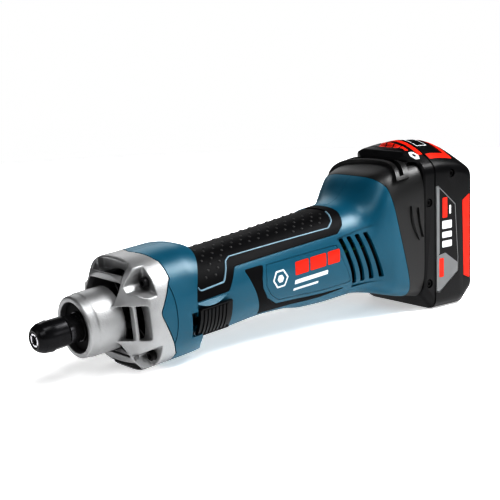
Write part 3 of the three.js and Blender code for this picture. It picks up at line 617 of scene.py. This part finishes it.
def make_housing():
    tail_inset = RING_DEPTH + GAP
    outer = join(common(skin(FRONT), front_keep()), skin(HANDLE), brow())
    body = cut(outer, cut(tail_region(), skin(HANDLE, tail_inset)))

    # hollow inside, but for the solid end that carries the pack
    foot = [beyond(298, 440, LEVEL) for _ in range(3)]
    hollow = cut(common(skin(FRONT, WALL), front_keep(WALL)), foot[0])
    handle_hollow = cut(skin(HANDLE, WALL), tail_region(6), foot[1])
    tail_hollow = cut(skin(HANDLE, tail_inset + WALL), foot[2])
    tail_hollow = common(tail_hollow, block((255, 420), WIDE, WIDE))
    body = cut(body, hollow, handle_hollow, tail_hollow)

    points = [cut(tongue, skin(FRONT, 3)) for tongue in tongues(0)]
    nose = cut(block((-20, FLANGE_REAR + GAP), WIDE, WIDE), *points)
    pockets = [rod_y(3.3, (x, z), (seat - GAP, 60)) for x, z, seat in CROSS_SCREWS]
    # the slide's recess, which runs in under the front section's lower edge
    recess = [
        sector((32.3, 60), (-29, -3.6), (95.8, 106)),
        sector((32.3, 36.3), (-44, -28.5), (95.8, 106.1)),
        sector((32.3, 60), (-44, -3.6), (105.9, 134.2)),
    ]
    slot = sector((20, 40), (-31, -15), (104, 131.5))
    pit = sector((26, 40), (-35, -4), (97.4, 104.6))
    # the front section's lower edge is drawn forward on the slide's side
    fin_plan = [(105.4, -60), (105.4, -30), (116, -10), (126, -10), (126, -60)]
    fin = cut(prism_z(fin_plan, (-60, -10)), skin(HANDLE))
    channel = join(block((304.4, 309.4), (-27.6, 27.6), (-120, 140)),
                   block((309, 330), (-23.1, 23.1), (-120, 140)))
    window = block((290, 310), (-17, 17), (-14, 26))
    beds = [bed(prism_y(rounded(outline, 1.5), span), PLATE_DEPTH)
            for outline in (PLATE_OUTLINE, INLAY_OUTLINE) for span in SIDES.values()]
    left, right = (-60, -14), (14, 60)
    body = cut(
        body, nose, *pockets, *recess, slot, pit, fin, *creases(), moved(channel, LEVEL),
        moved(window, LEVEL),
        bed(grip_region(-GAP), GRIP_DEPTH), *beds, vent_hollow(left), vent_hollow(right),
        *vents(left), *vents(right), behind_tail(), under_floor())
    for side, item in halves(body).items():
        finished(item, f"shell_{side}", "blue_plastic", "housing", [f"housing_{side}"], sharp=32)


def make_grip():
    panel = cut(prism_y(rounded(GRIP_PANEL, 3), WIDE), skin(HANDLE, 0.7))
    grip = cut(fill(grip_region(), GRIP_DEPTH), panel)
    dots = grip_dots()
    for side, item in halves(grip).items():
        sign = -1 if side == "left" else 1
        finished(item, f"grip_{side}", "black_rubber", "housing", [f"grip_{side}"])
        nubs = [nub for nub in dots if nub[0].y * sign > 0.8]
        finished(domes(nubs, 1.05, 0.55), f"grip_dots_{side}", "ring_rubber", "housing", slot="black_rubber")
        # the piping round the grip's panel is blue plastic, painted pale as its own edge highlight
        border = resampled(rounded(GRIP_PANEL, 3)[:32], 2.0)
        path = [side_point(x, z, sign, -0.5) for x, z in border if z < 31.5]
        finished(wire(path, 0.75), f"grip_line_{side}", "blue_piping_highlight", "housing", slot="blue_plastic")


def resampled(points, step):
    """Points at even distances along an open line."""
    result = [Vector(points[0])]
    for target in map(Vector, points[1:]):
        start = result[-1]
        count = max(1, round((target - start).length / step))
        result += [start.lerp(target, k / count) for k in range(1, count + 1)]
    return result


def grip_dots():
    """Places and normals of the grip's nubs, in staggered rows that follow the handle."""
    places = []
    field = shrunk(GRIP_PANEL, 3)
    for row in range(-7, 8):
        angle = 90 + row * 8.8
        for k in range(16):
            x = 114 + 8.2 * k + (4.1 if row % 2 else 0)
            point = top_point(x, angle, -0.7)
            if 113.5 + 0.0135 * point.z ** 2 < x < 240 and inside(point.x, point.z, field):
                normal = (top_point(x, angle, 1) - top_point(x, angle, 0)).normalized()
                places.append((point, normal))
    return places


def inside(x, z, outline):
    """Whether a point lies within a closed outline."""
    hit = False
    for i, (x1, z1) in enumerate(outline):
        x0, z0 = outline[i - 1]
        if (z0 > z) != (z1 > z) and x < x0 + (z - z0) * (x1 - x0) / (z1 - z0):
            hit = not hit
    return hit


def domes(places, radius, height, segments=12, rows=4):
    """Low round nubs standing on the surface."""
    vertices, faces = [], []
    for centre, normal in places:
        side = normal.orthogonal().normalized()
        other = normal.cross(side)
        first = len(vertices)
        for row in range(rows):
            lift = math.pi / 2 * row / rows
            for k in range(segments):
                angle = 2 * math.pi * k / segments
                spoke = (side * math.cos(angle) + other * math.sin(angle)) * radius * math.cos(lift)
                vertices.append(centre + spoke + normal * height * math.sin(lift))
        vertices.append(centre + normal * height)
        faces.append(tuple(first + k for k in reversed(range(segments))))
        for row in range(rows - 1):
            for k in range(segments):
                a, b = first + row * segments + k, first + row * segments + (k + 1) % segments
                faces.append((a, b, b + segments, a + segments))
        last, tip = first + (rows - 1) * segments, len(vertices) - 1
        faces += [(last + k, last + (k + 1) % segments, tip) for k in range(segments)]
    return solid(vertices, faces)


def wire(path, radius, segments=10):
    """A round wire along a line of points, with closed ends."""
    rings = []
    for i, point in enumerate(path):
        ahead = path[min(i + 1, len(path) - 1)] - path[max(i - 1, 0)]
        out = Vector((0, point.y, point.z)).normalized()
        side = ahead.cross(out).normalized()
        up = side.cross(ahead).normalized()
        angles = [2 * math.pi * k / segments for k in range(segments)]
        rings.append([point + (side * math.cos(a) + up * math.sin(a)) * radius for a in angles])
    return loft(rings)


def make_plates():
    for side, span in SIDES.items():
        sign = -1 if side == "left" else 1
        plate = fill(prism_y(rounded(shrunk(PLATE_OUTLINE, GAP), 1.5), span), PLATE_DEPTH)
        finished(plate, f"plate_{side}", "blue_plastic", "housing", [f"nameplate_{side}"])
        inlay = fill(prism_y(rounded(shrunk(INLAY_OUTLINE, GAP), 1.5), span), PLATE_DEPTH)
        finished(inlay, f"inlay_{side}", "black_rubber", "housing", [f"side_inlay_{side}"])

        # generic marks: a hexagon, three red bars and two thin lines
        def mark(name, outline, look, slot, holes=()):
            region = prism_y(outline, span)
            if holes:
                region = cut(region, *[prism_y(hole, (-70, 70)) for hole in holes])
            finished(fill(region, 0.25, 0.12), f"{name}_{side}", look, "housing", slot=slot)

        hexagon = hexagon_at(178.5, -1, 7.2)
        mark("mark_ring", rounded(hexagon, 1.2), "white_print", "grey_plastic",
             [rounded(shrunk(hexagon, 1.3), 0.8)])
        mark("mark_core", rounded(shrunk(hexagon, 3.6), 0.8), "white_print", "grey_plastic")
        for number, (x0, x1) in enumerate([(192, 204.5), (206, 221), (222.5, 234)]):
            bar = [(x0, -2.2), (x1, -2.2), (x1 + 1.2, 7.4), (x0 + 1.2, 7.4)]
            mark(f"mark_bar_{number + 1}", rounded(bar, 1.2), "red_plastic", "red_plastic")
        mark("mark_line_1", rounded([(191, -8.6), (222, -8.6), (222.6, -5.4), (191.6, -5.4)], 0.8),
             "white_print", "grey_plastic")
        mark("mark_line_2", rounded([(190, -13.2), (213, -13.2), (213.4, -11.4), (190.4, -11.4)], 0.6),
             "white_print", "grey_plastic")


def lens(top, bottom, ahead, behind, steps=12):
    """A lens-shaped outline between two points, with its own swell on each side."""
    outline = []
    for swell, order in ((-ahead, range(steps + 1)), (behind, range(steps - 1, 0, -1))):
        for k in order:
            t = k / steps
            outline.append((top[0] + (bottom[0] - top[0]) * t + swell * math.sin(math.pi * t),
                            top[1] + (bottom[1] - top[1]) * t))
    return outline


def arch(front, rear, half, steps=20):
    """A band across the top that sweeps forward towards both sides."""
    edge = [half * (2 * k / steps - 1) for k in range(steps + 1)]
    outline = [(front - 13.5 * (y / 38) ** 2, y) for y in edge]
    outline += [(rear - 14 * (y / 38) ** 2, y) for y in reversed(edge)]
    return prism_z(outline, (30, 75))


def make_tail_ring():
    region = cut(tail_region(-GAP), behind_tail())
    sleeve = cut(common(skin(HANDLE), region), skin(HANDLE, RING_DEPTH))

    # a slotted lip arches over the top, and two rounded lips stand on each side
    ends = prism_x(rounded([(-41, 44), (-30, 64), (30, 64), (41, 44)], 5), (280, 320))
    lip = common(cut(skin(HANDLE, -2.8), skin(HANDLE, 1)), arch(305.5, 319, 41), ends)
    upper = prism_x([(-45, 47), (45, 47), (45, 70), (-45, 70)], (280, 320))
    slot = cut(common(arch(309.4, 313.8, 36.4), skin(HANDLE, -6), upper), skin(HANDLE, 1.6))
    bands = []
    for share, height in ((1, 0.5), (0.8, 0.9), (0.5, 1.2)):
        for outline in (lens((304.2, 24), (309.8, -3), 3 * share, 2.6 * share),
                        lens((311.6, 21.5), (314.6, -2), 1.5 * share, 1.7 * share)):
            bands.append(cut(common(skin(HANDLE, -height), prism_y(outline, WIDE)), skin(HANDLE, 1)))
    groove = cut(prism_y(lens((309.4, 21), (312.8, -3), -1.6, 3), WIDE), skin(HANDLE, 2.2))
    notch = moved(block((304.1, 330), (-28, 28), (-120, 140)), LEVEL)
    whole = join(cut(sleeve, groove), lip, *bands)
    body = cut(whole, slot, notch, behind_tail(), under_floor())
    finished(body, "tail_sleeve", "ring_rubber", "housing", ["tail_ring"], slot="black_rubber")


def screw_body(head_r, shank_r, head_length, length):
    """A screw along +x with its head's seat at x 0 and a six-lobed socket."""
    profile = [(-head_length, 0), (-head_length, head_r - 0.5), (-head_length + 0.5, head_r), (0, head_r),
               (0, shank_r), (length - 1, shank_r), (length, shank_r / 2), (length, 0)]
    body = turned(profile, 36)
    socket = []
    for k in range(48):
        angle = 2 * math.pi * k / 48
        reach = head_r * (0.52 + 0.09 * math.cos(6 * angle))
        socket.append((reach * math.cos(angle), reach * math.sin(angle)))
    return cut(body, prism_x(socket, (-head_length - 1, -head_length * 0.35)))


def make_screws():
    for side, sign in (("left", -1), ("right", 1)):
        turn = Matrix.Rotation(math.radians(-90 * sign), 4, "Z")
        x, z = CHAMFER_SCREW
        item = moved(screw_body(2.7, 1.5, 2, 5), Matrix.Translation((x, sign * 34.9, z)) @ turn)
        finished(item, f"chamfer_screw_{side}", "screw_steel", "battery", (), STAND)
    for number, (y, z) in enumerate(SCREW_CENTRES):
        item = moved(screw_body(3.5, 1.9, 3.4, 27), Matrix.Translation((71.7, y, z)))
        finished(item, f"cap_screw_{number + 1}", "screw_steel", "housing", [f"flange_screw_{number + 1}"])
    turn = Matrix.Rotation(math.radians(-90), 4, "Z")
    for number, (x, z, seat) in enumerate(CROSS_SCREWS):
        item = moved(screw_body(2.9, 1.5, 2.4, 26), Matrix.Translation((x, seat, z)) @ turn)
        finished(item, f"cross_screw_{number + 1}", "screw_steel", "housing", [f"housing_screw_{number + 1}"])
    for side, sign in (("left", -1), ("right", 1)):
        for number, (x, z) in enumerate(PACK_SCREWS):
            turn = Matrix.Rotation(math.radians(-90 * sign), 4, "Z")
            item = moved(screw_body(2.8, 1.5, 2, 8), Matrix.Translation((x, sign * 35.3, z)) @ turn)
            finished(item, f"torx_screw_{side}_{number + 1}", "screw_steel", "battery",
                     [f"pack_screw_{side}_{number + 1}"], STAND)


# ---------------------------------------------------------------- flange and nose

WINDOWS = ((0, 18.5), (90, 11.5), (180, 18.5), (270, 11.5))  # quarter turn and half length
FLANGE = [
    (48, 22, -22, 22, 2), (54, 26.6, -26.4, 26.6, 2.1), (59, 33.2, -32.4, 33.2, 2.3),
    (62.8, 37.4, -36.2, 37.4, 2.4), (66, 39.2, -38.6, 38.6, 2.45), (90, 39.2, -38.4, 38.6, 2.45),
]


def make_flange():
    neck = turned([
        (29.3, 16.9), (29.3, 19.8), (30.3, 20.7), (35.8, 21.15), (36.4, 21.5), (58, 21.5), (58, 14),
        (48.1, 14), (48.1, 16.3), (38.7, 16.3), (38.7, 16.9)])
    recesses = [
        moved(cut(block((42, 64.2), (-half, half), (8, 50), 1.5), rod_x(21.5, (38, 58), segments=FINE)),
              Matrix.Rotation(math.radians(turn), 4, "X"))
        for turn, half in WINDOWS]
    pockets = [screw_pocket(centre) for centre in SCREW_CENTRES]
    holes = [rod_x(2.4, (70, 95), centre) for centre in SCREW_CENTRES]
    mates = [cut(tongue, skin(FRONT, 3 + GAP)) for tongue in tongues(GAP)]
    body = cut(skin(FLANGE, 0.0, 1.5), *recesses)
    bars = [moved(common(block((57, 59.6), (-half - 1, half + 1), (25, 29.8)), skin(FLANGE, 0.5, 1.5)),
                  Matrix.Rotation(math.radians(turn), 4, "X")) for turn, half in WINDOWS]
    throat = turned([(40, 0), (40, 15), (52, 15), (54, 18.5), (58, 24.5), (61.4, 29.5), (95, 29.5), (95, 0)])
    slits = [block((60, 69), (-17.6, 17.6), height, 1) for height in ((28, 36.6), (-36.2, -28))]
    body = cut(join(body, neck), throat, *slits, *pockets, *holes, *mates, beyond(FLANGE_REAR, 420),
               under_floor())
    body = join(body, *bars)
    soften(body, 0.55, 2)
    thin = body.modifiers.new("thin", "DECIMATE")
    thin.ratio = 0.4
    finished(evaluated(body), "gear_flange", "cast_aluminium", "housing", ["front_flange"], sharp=60)


def screw_pocket(centre):
    """A channel ahead of a screw's seat: a peaked roof, and a floor that slopes down and out."""
    y, z = centre
    side, up = math.copysign(1, y), math.copysign(1, z)
    outline = [(y - side * 6.2, z - up * 3.6), (y - side * 2.4, z + up * 11), (y + side * 3, z + up * 16),
               (y + side * 22, z + up * 16), (y + side * 22, z - up * 13), (y + side * 4, z - up * 5)]
    return cut(prism_x(rounded(outline, 1.2), (44, 72)), rod_x(31.2, (40, 80), segments=FINE))


def soften(item, voxel, rounds):
    """Cast edges: the body is remeshed at an even pitch and its edges are worn round."""
    remesh = item.modifiers.new("cast", "REMESH")
    remesh.mode = "VOXEL"
    remesh.voxel_size = voxel
    wear = item.modifiers.new("wear", "SMOOTH")
    wear.factor = 0.5
    wear.iterations = rounds


def flats(across, span, angle):
    matrix = Matrix.Rotation(math.radians(angle), 4, "X")
    heights = ((across / 2, 20), (-20, -across / 2))
    return [moved(block(span, (-15, 15), height), matrix) for height in heights]


def make_nose():
    nut = turned(rounded([
        (0, 5.2), (0, 6.6), (1.6, 8.3), (4.6, 9.7), (9.5, 10.4), (12, 10.6), (20.8, 10.6), (21.8, 9.9),
        (21.8, 8.35), (7.4, 8.35), (6.2, 7), (2.2, 5.2)], 0.5, 3))
    finished(cut(nut, *flats(19, (10.5, 23), -25)), "nut", "blackened_steel", "nut", ["collet_nut"])

    sleeve = turned(rounded([
        (0.2, 3.05), (0.2, 4.7), (2.1, 4.8), (5.6, 6.3), (8, 6.1), (18.6, 3.9), (18.6, 3.05)], 0.3, 3))
    slits = [moved(block((-1, 14), (-10, 0), (-0.4, 0.4)), Matrix.Rotation(math.radians(a), 4, "X"))
             for a in (45, 135, 225, 315)]
    finished(cut(sleeve, *slits), "spring_collet", "ground_steel", "collet", ["collet"])

    shaft = turned([
        (9, 6.75), (9, 7.8), (9.3, 8), (22.1, 8), (22.1, 9), (22.4, 9.3), (32, 9.3), (32, 9.8), (38.5, 9.8),
        (38.5, 7.2), (62, 7.2), (62, 6.2), (157.5, 6.2), (157.5, 5), (175.6, 5), (175.6, 4), (183.5, 4),
        (184, 3.5), (184, 0), (45, 0), (45, 3.25), (20, 3.25), (20, 4.25)])
    # painted shade: the spindle is ground steel, drawn in darkened steel for the shade in the collar's bore
    finished(cut(shaft, *flats(15, (22.3, 30.5), 20)), "drive_spindle", "bore_shade_steel", "rotor", ["spindle"],
             slot="ground_steel")


def make_slide():
    knob = sector((32.7, 35), (-41, -4.5), (105.5, 132.4))
    ribs = [sector((34, 35.7), (-39, -7), (108.4 + 3.1 * k, 110.4 + 3.1 * k)) for k in range(7)]
    bars = [sector((34, 35.9), angles, (106, 131.9)) for angles in ((-41, -39.4), (-6, -4.5))]
    stem = sector((27, 33.5), (-29, -17), (112.5, 131))
    finished(join(knob, stem, *ribs, *bars), "thumb_slide", "black_plastic", "switch", ["switch_slide"])


# ---------------------------------------------------------------- battery pack

PACK = {"half": 38, "shoulder": 315.5, "split": 327.1, "rear": 368.4, "crown": 98.4}
TONGUE = {"front": 305, "half": 27, "neck": 22.5, "bottom": -17.5}
BUTTON = {"x": (329, 354), "half": 31}
GAUGE = {"x": (331.5, 339.5), "y": (-15, -4)}
LABEL = [(327.7, 65), (331, 65.4), (350.4, 49.4), (353.6, 7), (353.6, -4.4), (332.4, -18.4), (327.7, -17.6)]
STRIP = [(357.6, 51), (366.6, 56.4), (366.6, -11.8), (359, -8.6)]


def pack_ring(x, side, crown, bottom=FLOOR, half=38.0, corner=8.5, inset=0.0):
    side, crown, bottom, half = side - inset, crown - inset, bottom + inset, half - inset
    rim = 0.86  # the share of the half width where the crown starts to turn down into the side
    rise = (crown - side) * (1 - rim ** 1.8)
    turn_down = [(half * (rim * (1 - t) ** 2 + 2 * t * (1 - t) + t * t),
                  (side + rise) * (1 - t) ** 2 + (side + 0.6) * 2 * t * (1 - t) + (side - 6) * t * t)
                 for t in (0.17, 0.33, 0.5, 0.67, 0.83, 1)]
    section = [(y, z) for y, z in reversed(turn_down)]
    for k in range(21):
        y = half * rim * (1 - k / 10)
        section.append((y, side + (crown - side) * (1 - abs(y / half) ** 1.8)))
    section += [(-y, z) for y, z in turn_down]
    for sign in (-1, 1):
        arc = [(half - corner * (1 - math.cos(a)), bottom + corner * (1 - math.sin(a)))
               for a in (0, math.pi / 8, math.pi / 4, 3 * math.pi / 8, math.pi / 2)]
        section += [(sign * y, z) for y, z in (arc if sign < 0 else reversed(arc))]
    return [(x, y, z) for y, z in section]


def pack_body(inset=0.0):
    front, seam, rear, crown = PACK["shoulder"], PACK["split"], PACK["rear"], PACK["crown"]
    half = PACK["half"]
    rows = [
        (front + inset, 78.3, crown - 2.6, FLOOR + 13, half - 1),
        (front + 1.2 + inset, 79.5, crown - 1.3, FLOOR + 11.5, half),
        (seam + inset, 79.8, crown - 0.4, FLOOR, half),
        (334, 80, crown, FLOOR, half),
        (341, 79.6, crown - 0.6, FLOOR, half),
        (348, 79, crown - 1.8, FLOOR, half),
        (354, 78.2, crown - 3.5, FLOOR, half),
        (358.6, 77.4, crown - 5.6, FLOOR, half),
        (rear - 1.2 - inset, 73.6, crown - 11.4, FLOOR + 8, half),
        (rear - inset, 72, crown - 12.6, FLOOR + 9.6, half - 1.2),
    ]
    return loft([pack_ring(*row, inset=inset) for row in rows])


def button_well(by):
    (x0, x1), half = BUTTON["x"], BUTTON["half"]
    return block((x0 - by, x1 + by), (-half - by, half + by), (74 - by, 120), 1.5)


def pack_head(lift=0.0):
    """The sloping head of the front case, which reaches out over the tail ring."""
    side = rounded([(305, 84.5), (305, 86.6), (309, 91.8), (321.5, 96.9), (321.5, 70), (315.3, 70),
                    (315.3, 84.5)], 3)
    plan = rounded([(305, -20), (309, -27.5), (318, -33), (330, -33), (330, 33), (318, 33), (309, 27.5),
                    (305, 20)], 6)
    roof = loft([[(x, y, z) for _, y, z in pack_ring(0, 80, PACK["crown"] - 0.6)] for x in (300, 340)])
    head = common(prism_y(side, (-33, 33)), roof, prism_z(plan, (60, 120)))
    return moved(head, Matrix.Translation((0, 0, lift)))


def make_pack():
    front_of = PACK["split"] - GAP / 2
    rear_of = PACK["split"] + GAP / 2
    shell = cut(pack_body(), pack_body(2.1), button_well(GAP))
    well = cut(common(button_well(1.6), pack_body()), button_well(GAP))
    whole = join(shell, well)
    label_beds = [prism_y(rounded(LABEL, 0.8), span) for span in ((-60, -37.1), (37.1, 60))]
    strip_beds = [prism_y(rounded(STRIP, 0.8), span) for span in ((-60, -36.7), (36.7, 60))]
    # a shallow step runs round both cases at the split, and a screw sits in the top chamfer
    groove = cut(block((PACK["split"] - 0.7, PACK["split"] + 0.7), WIDE, (-60, 120)), pack_body(0.5))
    whole = cut(whole, *label_beds, *strip_beds, groove)
    chamfer_holes = [rod_y(3.2, CHAMFER_SCREW, span) for span in ((-60, -34.6), (34.6, 60))]
    rear = cut(common(linked(whole.data.copy()), beyond(rear_of, 400)), *chamfer_holes)
    finished(rear, "rear_case", "black_plastic", "battery", ["pack_rear_case"], STAND)

    front_half = TONGUE["half"]
    tongue = join(
        block((TONGUE["front"], 308.7), (-front_half, front_half), (TONGUE["bottom"], 84.7)),
        block((308, 318.5), (-TONGUE["neck"], TONGUE["neck"]), (TONGUE["bottom"], 84.7)))
    bosses = [rod_y(4.8, centre, span) for centre in PACK_SCREWS for span in ((-37, -26), (26, 37))]
    slots = [block((300, 313.5), (y - 1.4, y + 1.4), (-60, 12)) for y in (-8.6, 0, 8.6)]
    pockets = [rod_y(3.4, centre, span) for centre in PACK_SCREWS for span in ((-60, -35), (35, 60))]
    bores = [rod_y(1.9, centre, span) for centre in PACK_SCREWS for span in ((-60, -24), (24, 60))]
    front = join(common(whole, beyond(280, front_of)), tongue, pack_head(), *bosses)
    front = cut(front, *slots, *pockets, *bores)
    finished(front, "front_case", "black_plastic", "battery", ["pack_front_case"], STAND)


def make_pack_graphics():
    for side, sign in (("left", -1), ("right", 1)):
        face = sign * PACK["half"]

        def plate(name, outline, look, slot, outer, thick, replaced=(), holes=()):
            span = sorted((face - sign * outer, face - sign * (outer + thick)))
            item = prism_y(outline, span)
            if holes:
                item = cut(item, *[prism_y(hole, (-70, 70)) for hole in holes])
            finished(item, f"{name}_{side}", look, "battery", replaced, STAND, slot)

        field = rounded(shrunk(LABEL, GAP), 0.8)
        plate("label", field, "black_plastic", "grey_plastic", 0.2, 0.4, [f"pack_label_{side}"])
        plate("label_rim", field, "grey_plastic", "grey_plastic", 0.08, 0.12, (),
              [rounded(shrunk(LABEL, 1.1), 0.8)])
        plate("label_bar", rounded([(328.2, 64), (332.2, 64), (332.2, 12.6), (328.2, 9)], 0.6),
              "grey_plastic", "grey_plastic", 0.08, 0.12)
        foot = [(328.2, 10.8), (338.5, 12.4), (352.9, 2.6), (353, -4.2), (332.4, -17.8), (328.2, -17.2)]
        plate("label_foot", rounded(foot, 0.8), "grey_plastic", "grey_plastic", 0.08, 0.12)
        plate("label_tag", rounded([(335.4, 39.6), (341, 39.6), (341, 55.4), (335.4, 55.4)], 1),
              "red_plastic", "red_plastic", 0.08, 0.12)
        for number, (x0, x1, z0, z1) in enumerate([
                (335, 346, 31, 37.4), (335, 346, 24, 28.8), (335, 346, 16.6, 21.8), (343, 345.2, 42, 49)]):
            plate(f"label_bar_{number + 1}", rounded([(x0, z0), (x1, z0), (x1, z1), (x0, z1)], 0.9),
                  "white_print", "grey_plastic", 0.08, 0.12)
        plate("label_name", rounded([(331.6, -6.2), (336.6, -6.2), (336.6, 8.6), (331.6, 8.6)], 1),
              "red_plastic", "red_plastic", 0.02, 0.12)
        plate("strip", rounded(shrunk(STRIP, GAP), 0.8), "red_plastic", "red_plastic", 0, 1,
              [f"pack_strip_{side}"])


def make_button():
    body = common(button_well(0), pack_body(), block((300, 400), WIDE, (79, 120)))
    gauge_hole = block((GAUGE["x"][0] - GAP, GAUGE["x"][1] + GAP), (GAUGE["y"][0] - GAP, GAUGE["y"][1] + GAP),
                       (83, 120))
    (x0, x1), half = BUTTON["x"], BUTTON["half"]
    pad = cut(block((x0 - 2, x1 - 5), (-half + 5, half - 5), (80, 120), 2), pack_body(1.1))
    ribs = [cut(common(block((343 + 2.2 * k, 344.2 + 2.2 * k), (-12, 12), (80, 120), 0.4), pack_body(0.4)),
                pack_body(1.6)) for k in range(3)]
    spring_room = block((339.4, 348.6), (-4.6, 4.6), (70, 82.2))
    frame_piece = cut(body, linked(pad.data.copy()), linked(gauge_hole.data.copy()), spring_room)
    finished(frame_piece, "button_frame", "red_plastic", "release_button", ["release_button"], STAND)
    layer = common(pack_body(0.7), block((x0 + 0.02, x1), WIDE, (70, 120)))
    insert = cut(common(pad, layer), pack_body(1.08), gauge_hole)
    finished(join(insert, *ribs), "button_pad", "black_plastic", "release_button", (), STAND)
    gauge = common(block(GAUGE["x"], GAUGE["y"], (84.4, 120), 1), pack_body(0.4))
    finished(gauge, "gauge_key", "black_plastic", "gauge_button", ["gauge_button"], STAND, "grey_plastic")


def make_crown_marks():
    """Generic marks: a white outline round the gauge, red bars and a plain badge ahead of it."""

    def crown_mark(name, outline, look, slot, body_name, holes=()):
        region = prism_z(outline, (85, 110))
        if holes:
            region = cut(region, *[prism_z(hole, (80, 115)) for hole in holes])
        layer = cut(join(pack_body(-0.08), pack_head(0.08)), pack_body(0.12), pack_head(-0.12))
        finished(common(region, layer), name, look, body_name, (), STAND, slot)

    (gx0, gx1), (gy0, gy1) = GAUGE["x"], GAUGE["y"]
    rim = [(gx0 - 1.6, gy0 - 1.6), (gx1 + 1.6, gy0 - 1.6), (gx1 + 1.6, gy1 + 1.6), (gx0 - 1.6, gy1 + 1.6)]
    crown_mark("gauge_rim", rounded(rim, 1), "white_print", "grey_plastic", "release_button",
               [rounded(shrunk(rim, 0.9), 0.6)])
    crown_mark("crown_bar", rounded([(321.8, -26), (326.6, -26), (326.6, 24), (321.8, 24)], 1), "red_plastic",
               "red_plastic", "battery")
    for number, (y0, y1) in enumerate([(-20, -13.6), (-12.4, -6.4), (-5.2, 1.2), (2.4, 8.4)]):
        bar = [(313.8, y0), (317.6, y0), (317.6, y1), (313.8, y1)]
        crown_mark(f"crown_mark_{number + 1}", rounded(bar, 1), "red_plastic", "red_plastic", "battery")
    hexagon = hexagon_at(317, -26, 4.6)
    crown_mark("crown_badge", rounded(hexagon, 1.2), "white_print", "grey_plastic", "battery",
               [rounded(shrunk(hexagon, 2.6), 0.6)])


make_housing()
make_grip()
make_plates()
make_tail_ring()
make_screws()
make_flange()
make_nose()
make_slide()
make_pack()
make_pack_graphics()
make_button()
make_crown_marks()

# ---------------------------------------------------------------- floor

floor = bpy.data.objects.new("floor", bpy.data.meshes.new("floor"))
disc = bmesh.new()
bmesh.ops.create_circle(disc, cap_ends=True, segments=96, radius=1.25)
disc.to_mesh(floor.data)
disc.free()
scene.collection.objects.link(floor)
pale = surface("pale_floor", (0.85, 0.85, 0.85), 0.8, 0.0, (400, 0.01), (3, 0.01), glow=0.6)
floor.data.materials.append(pale)
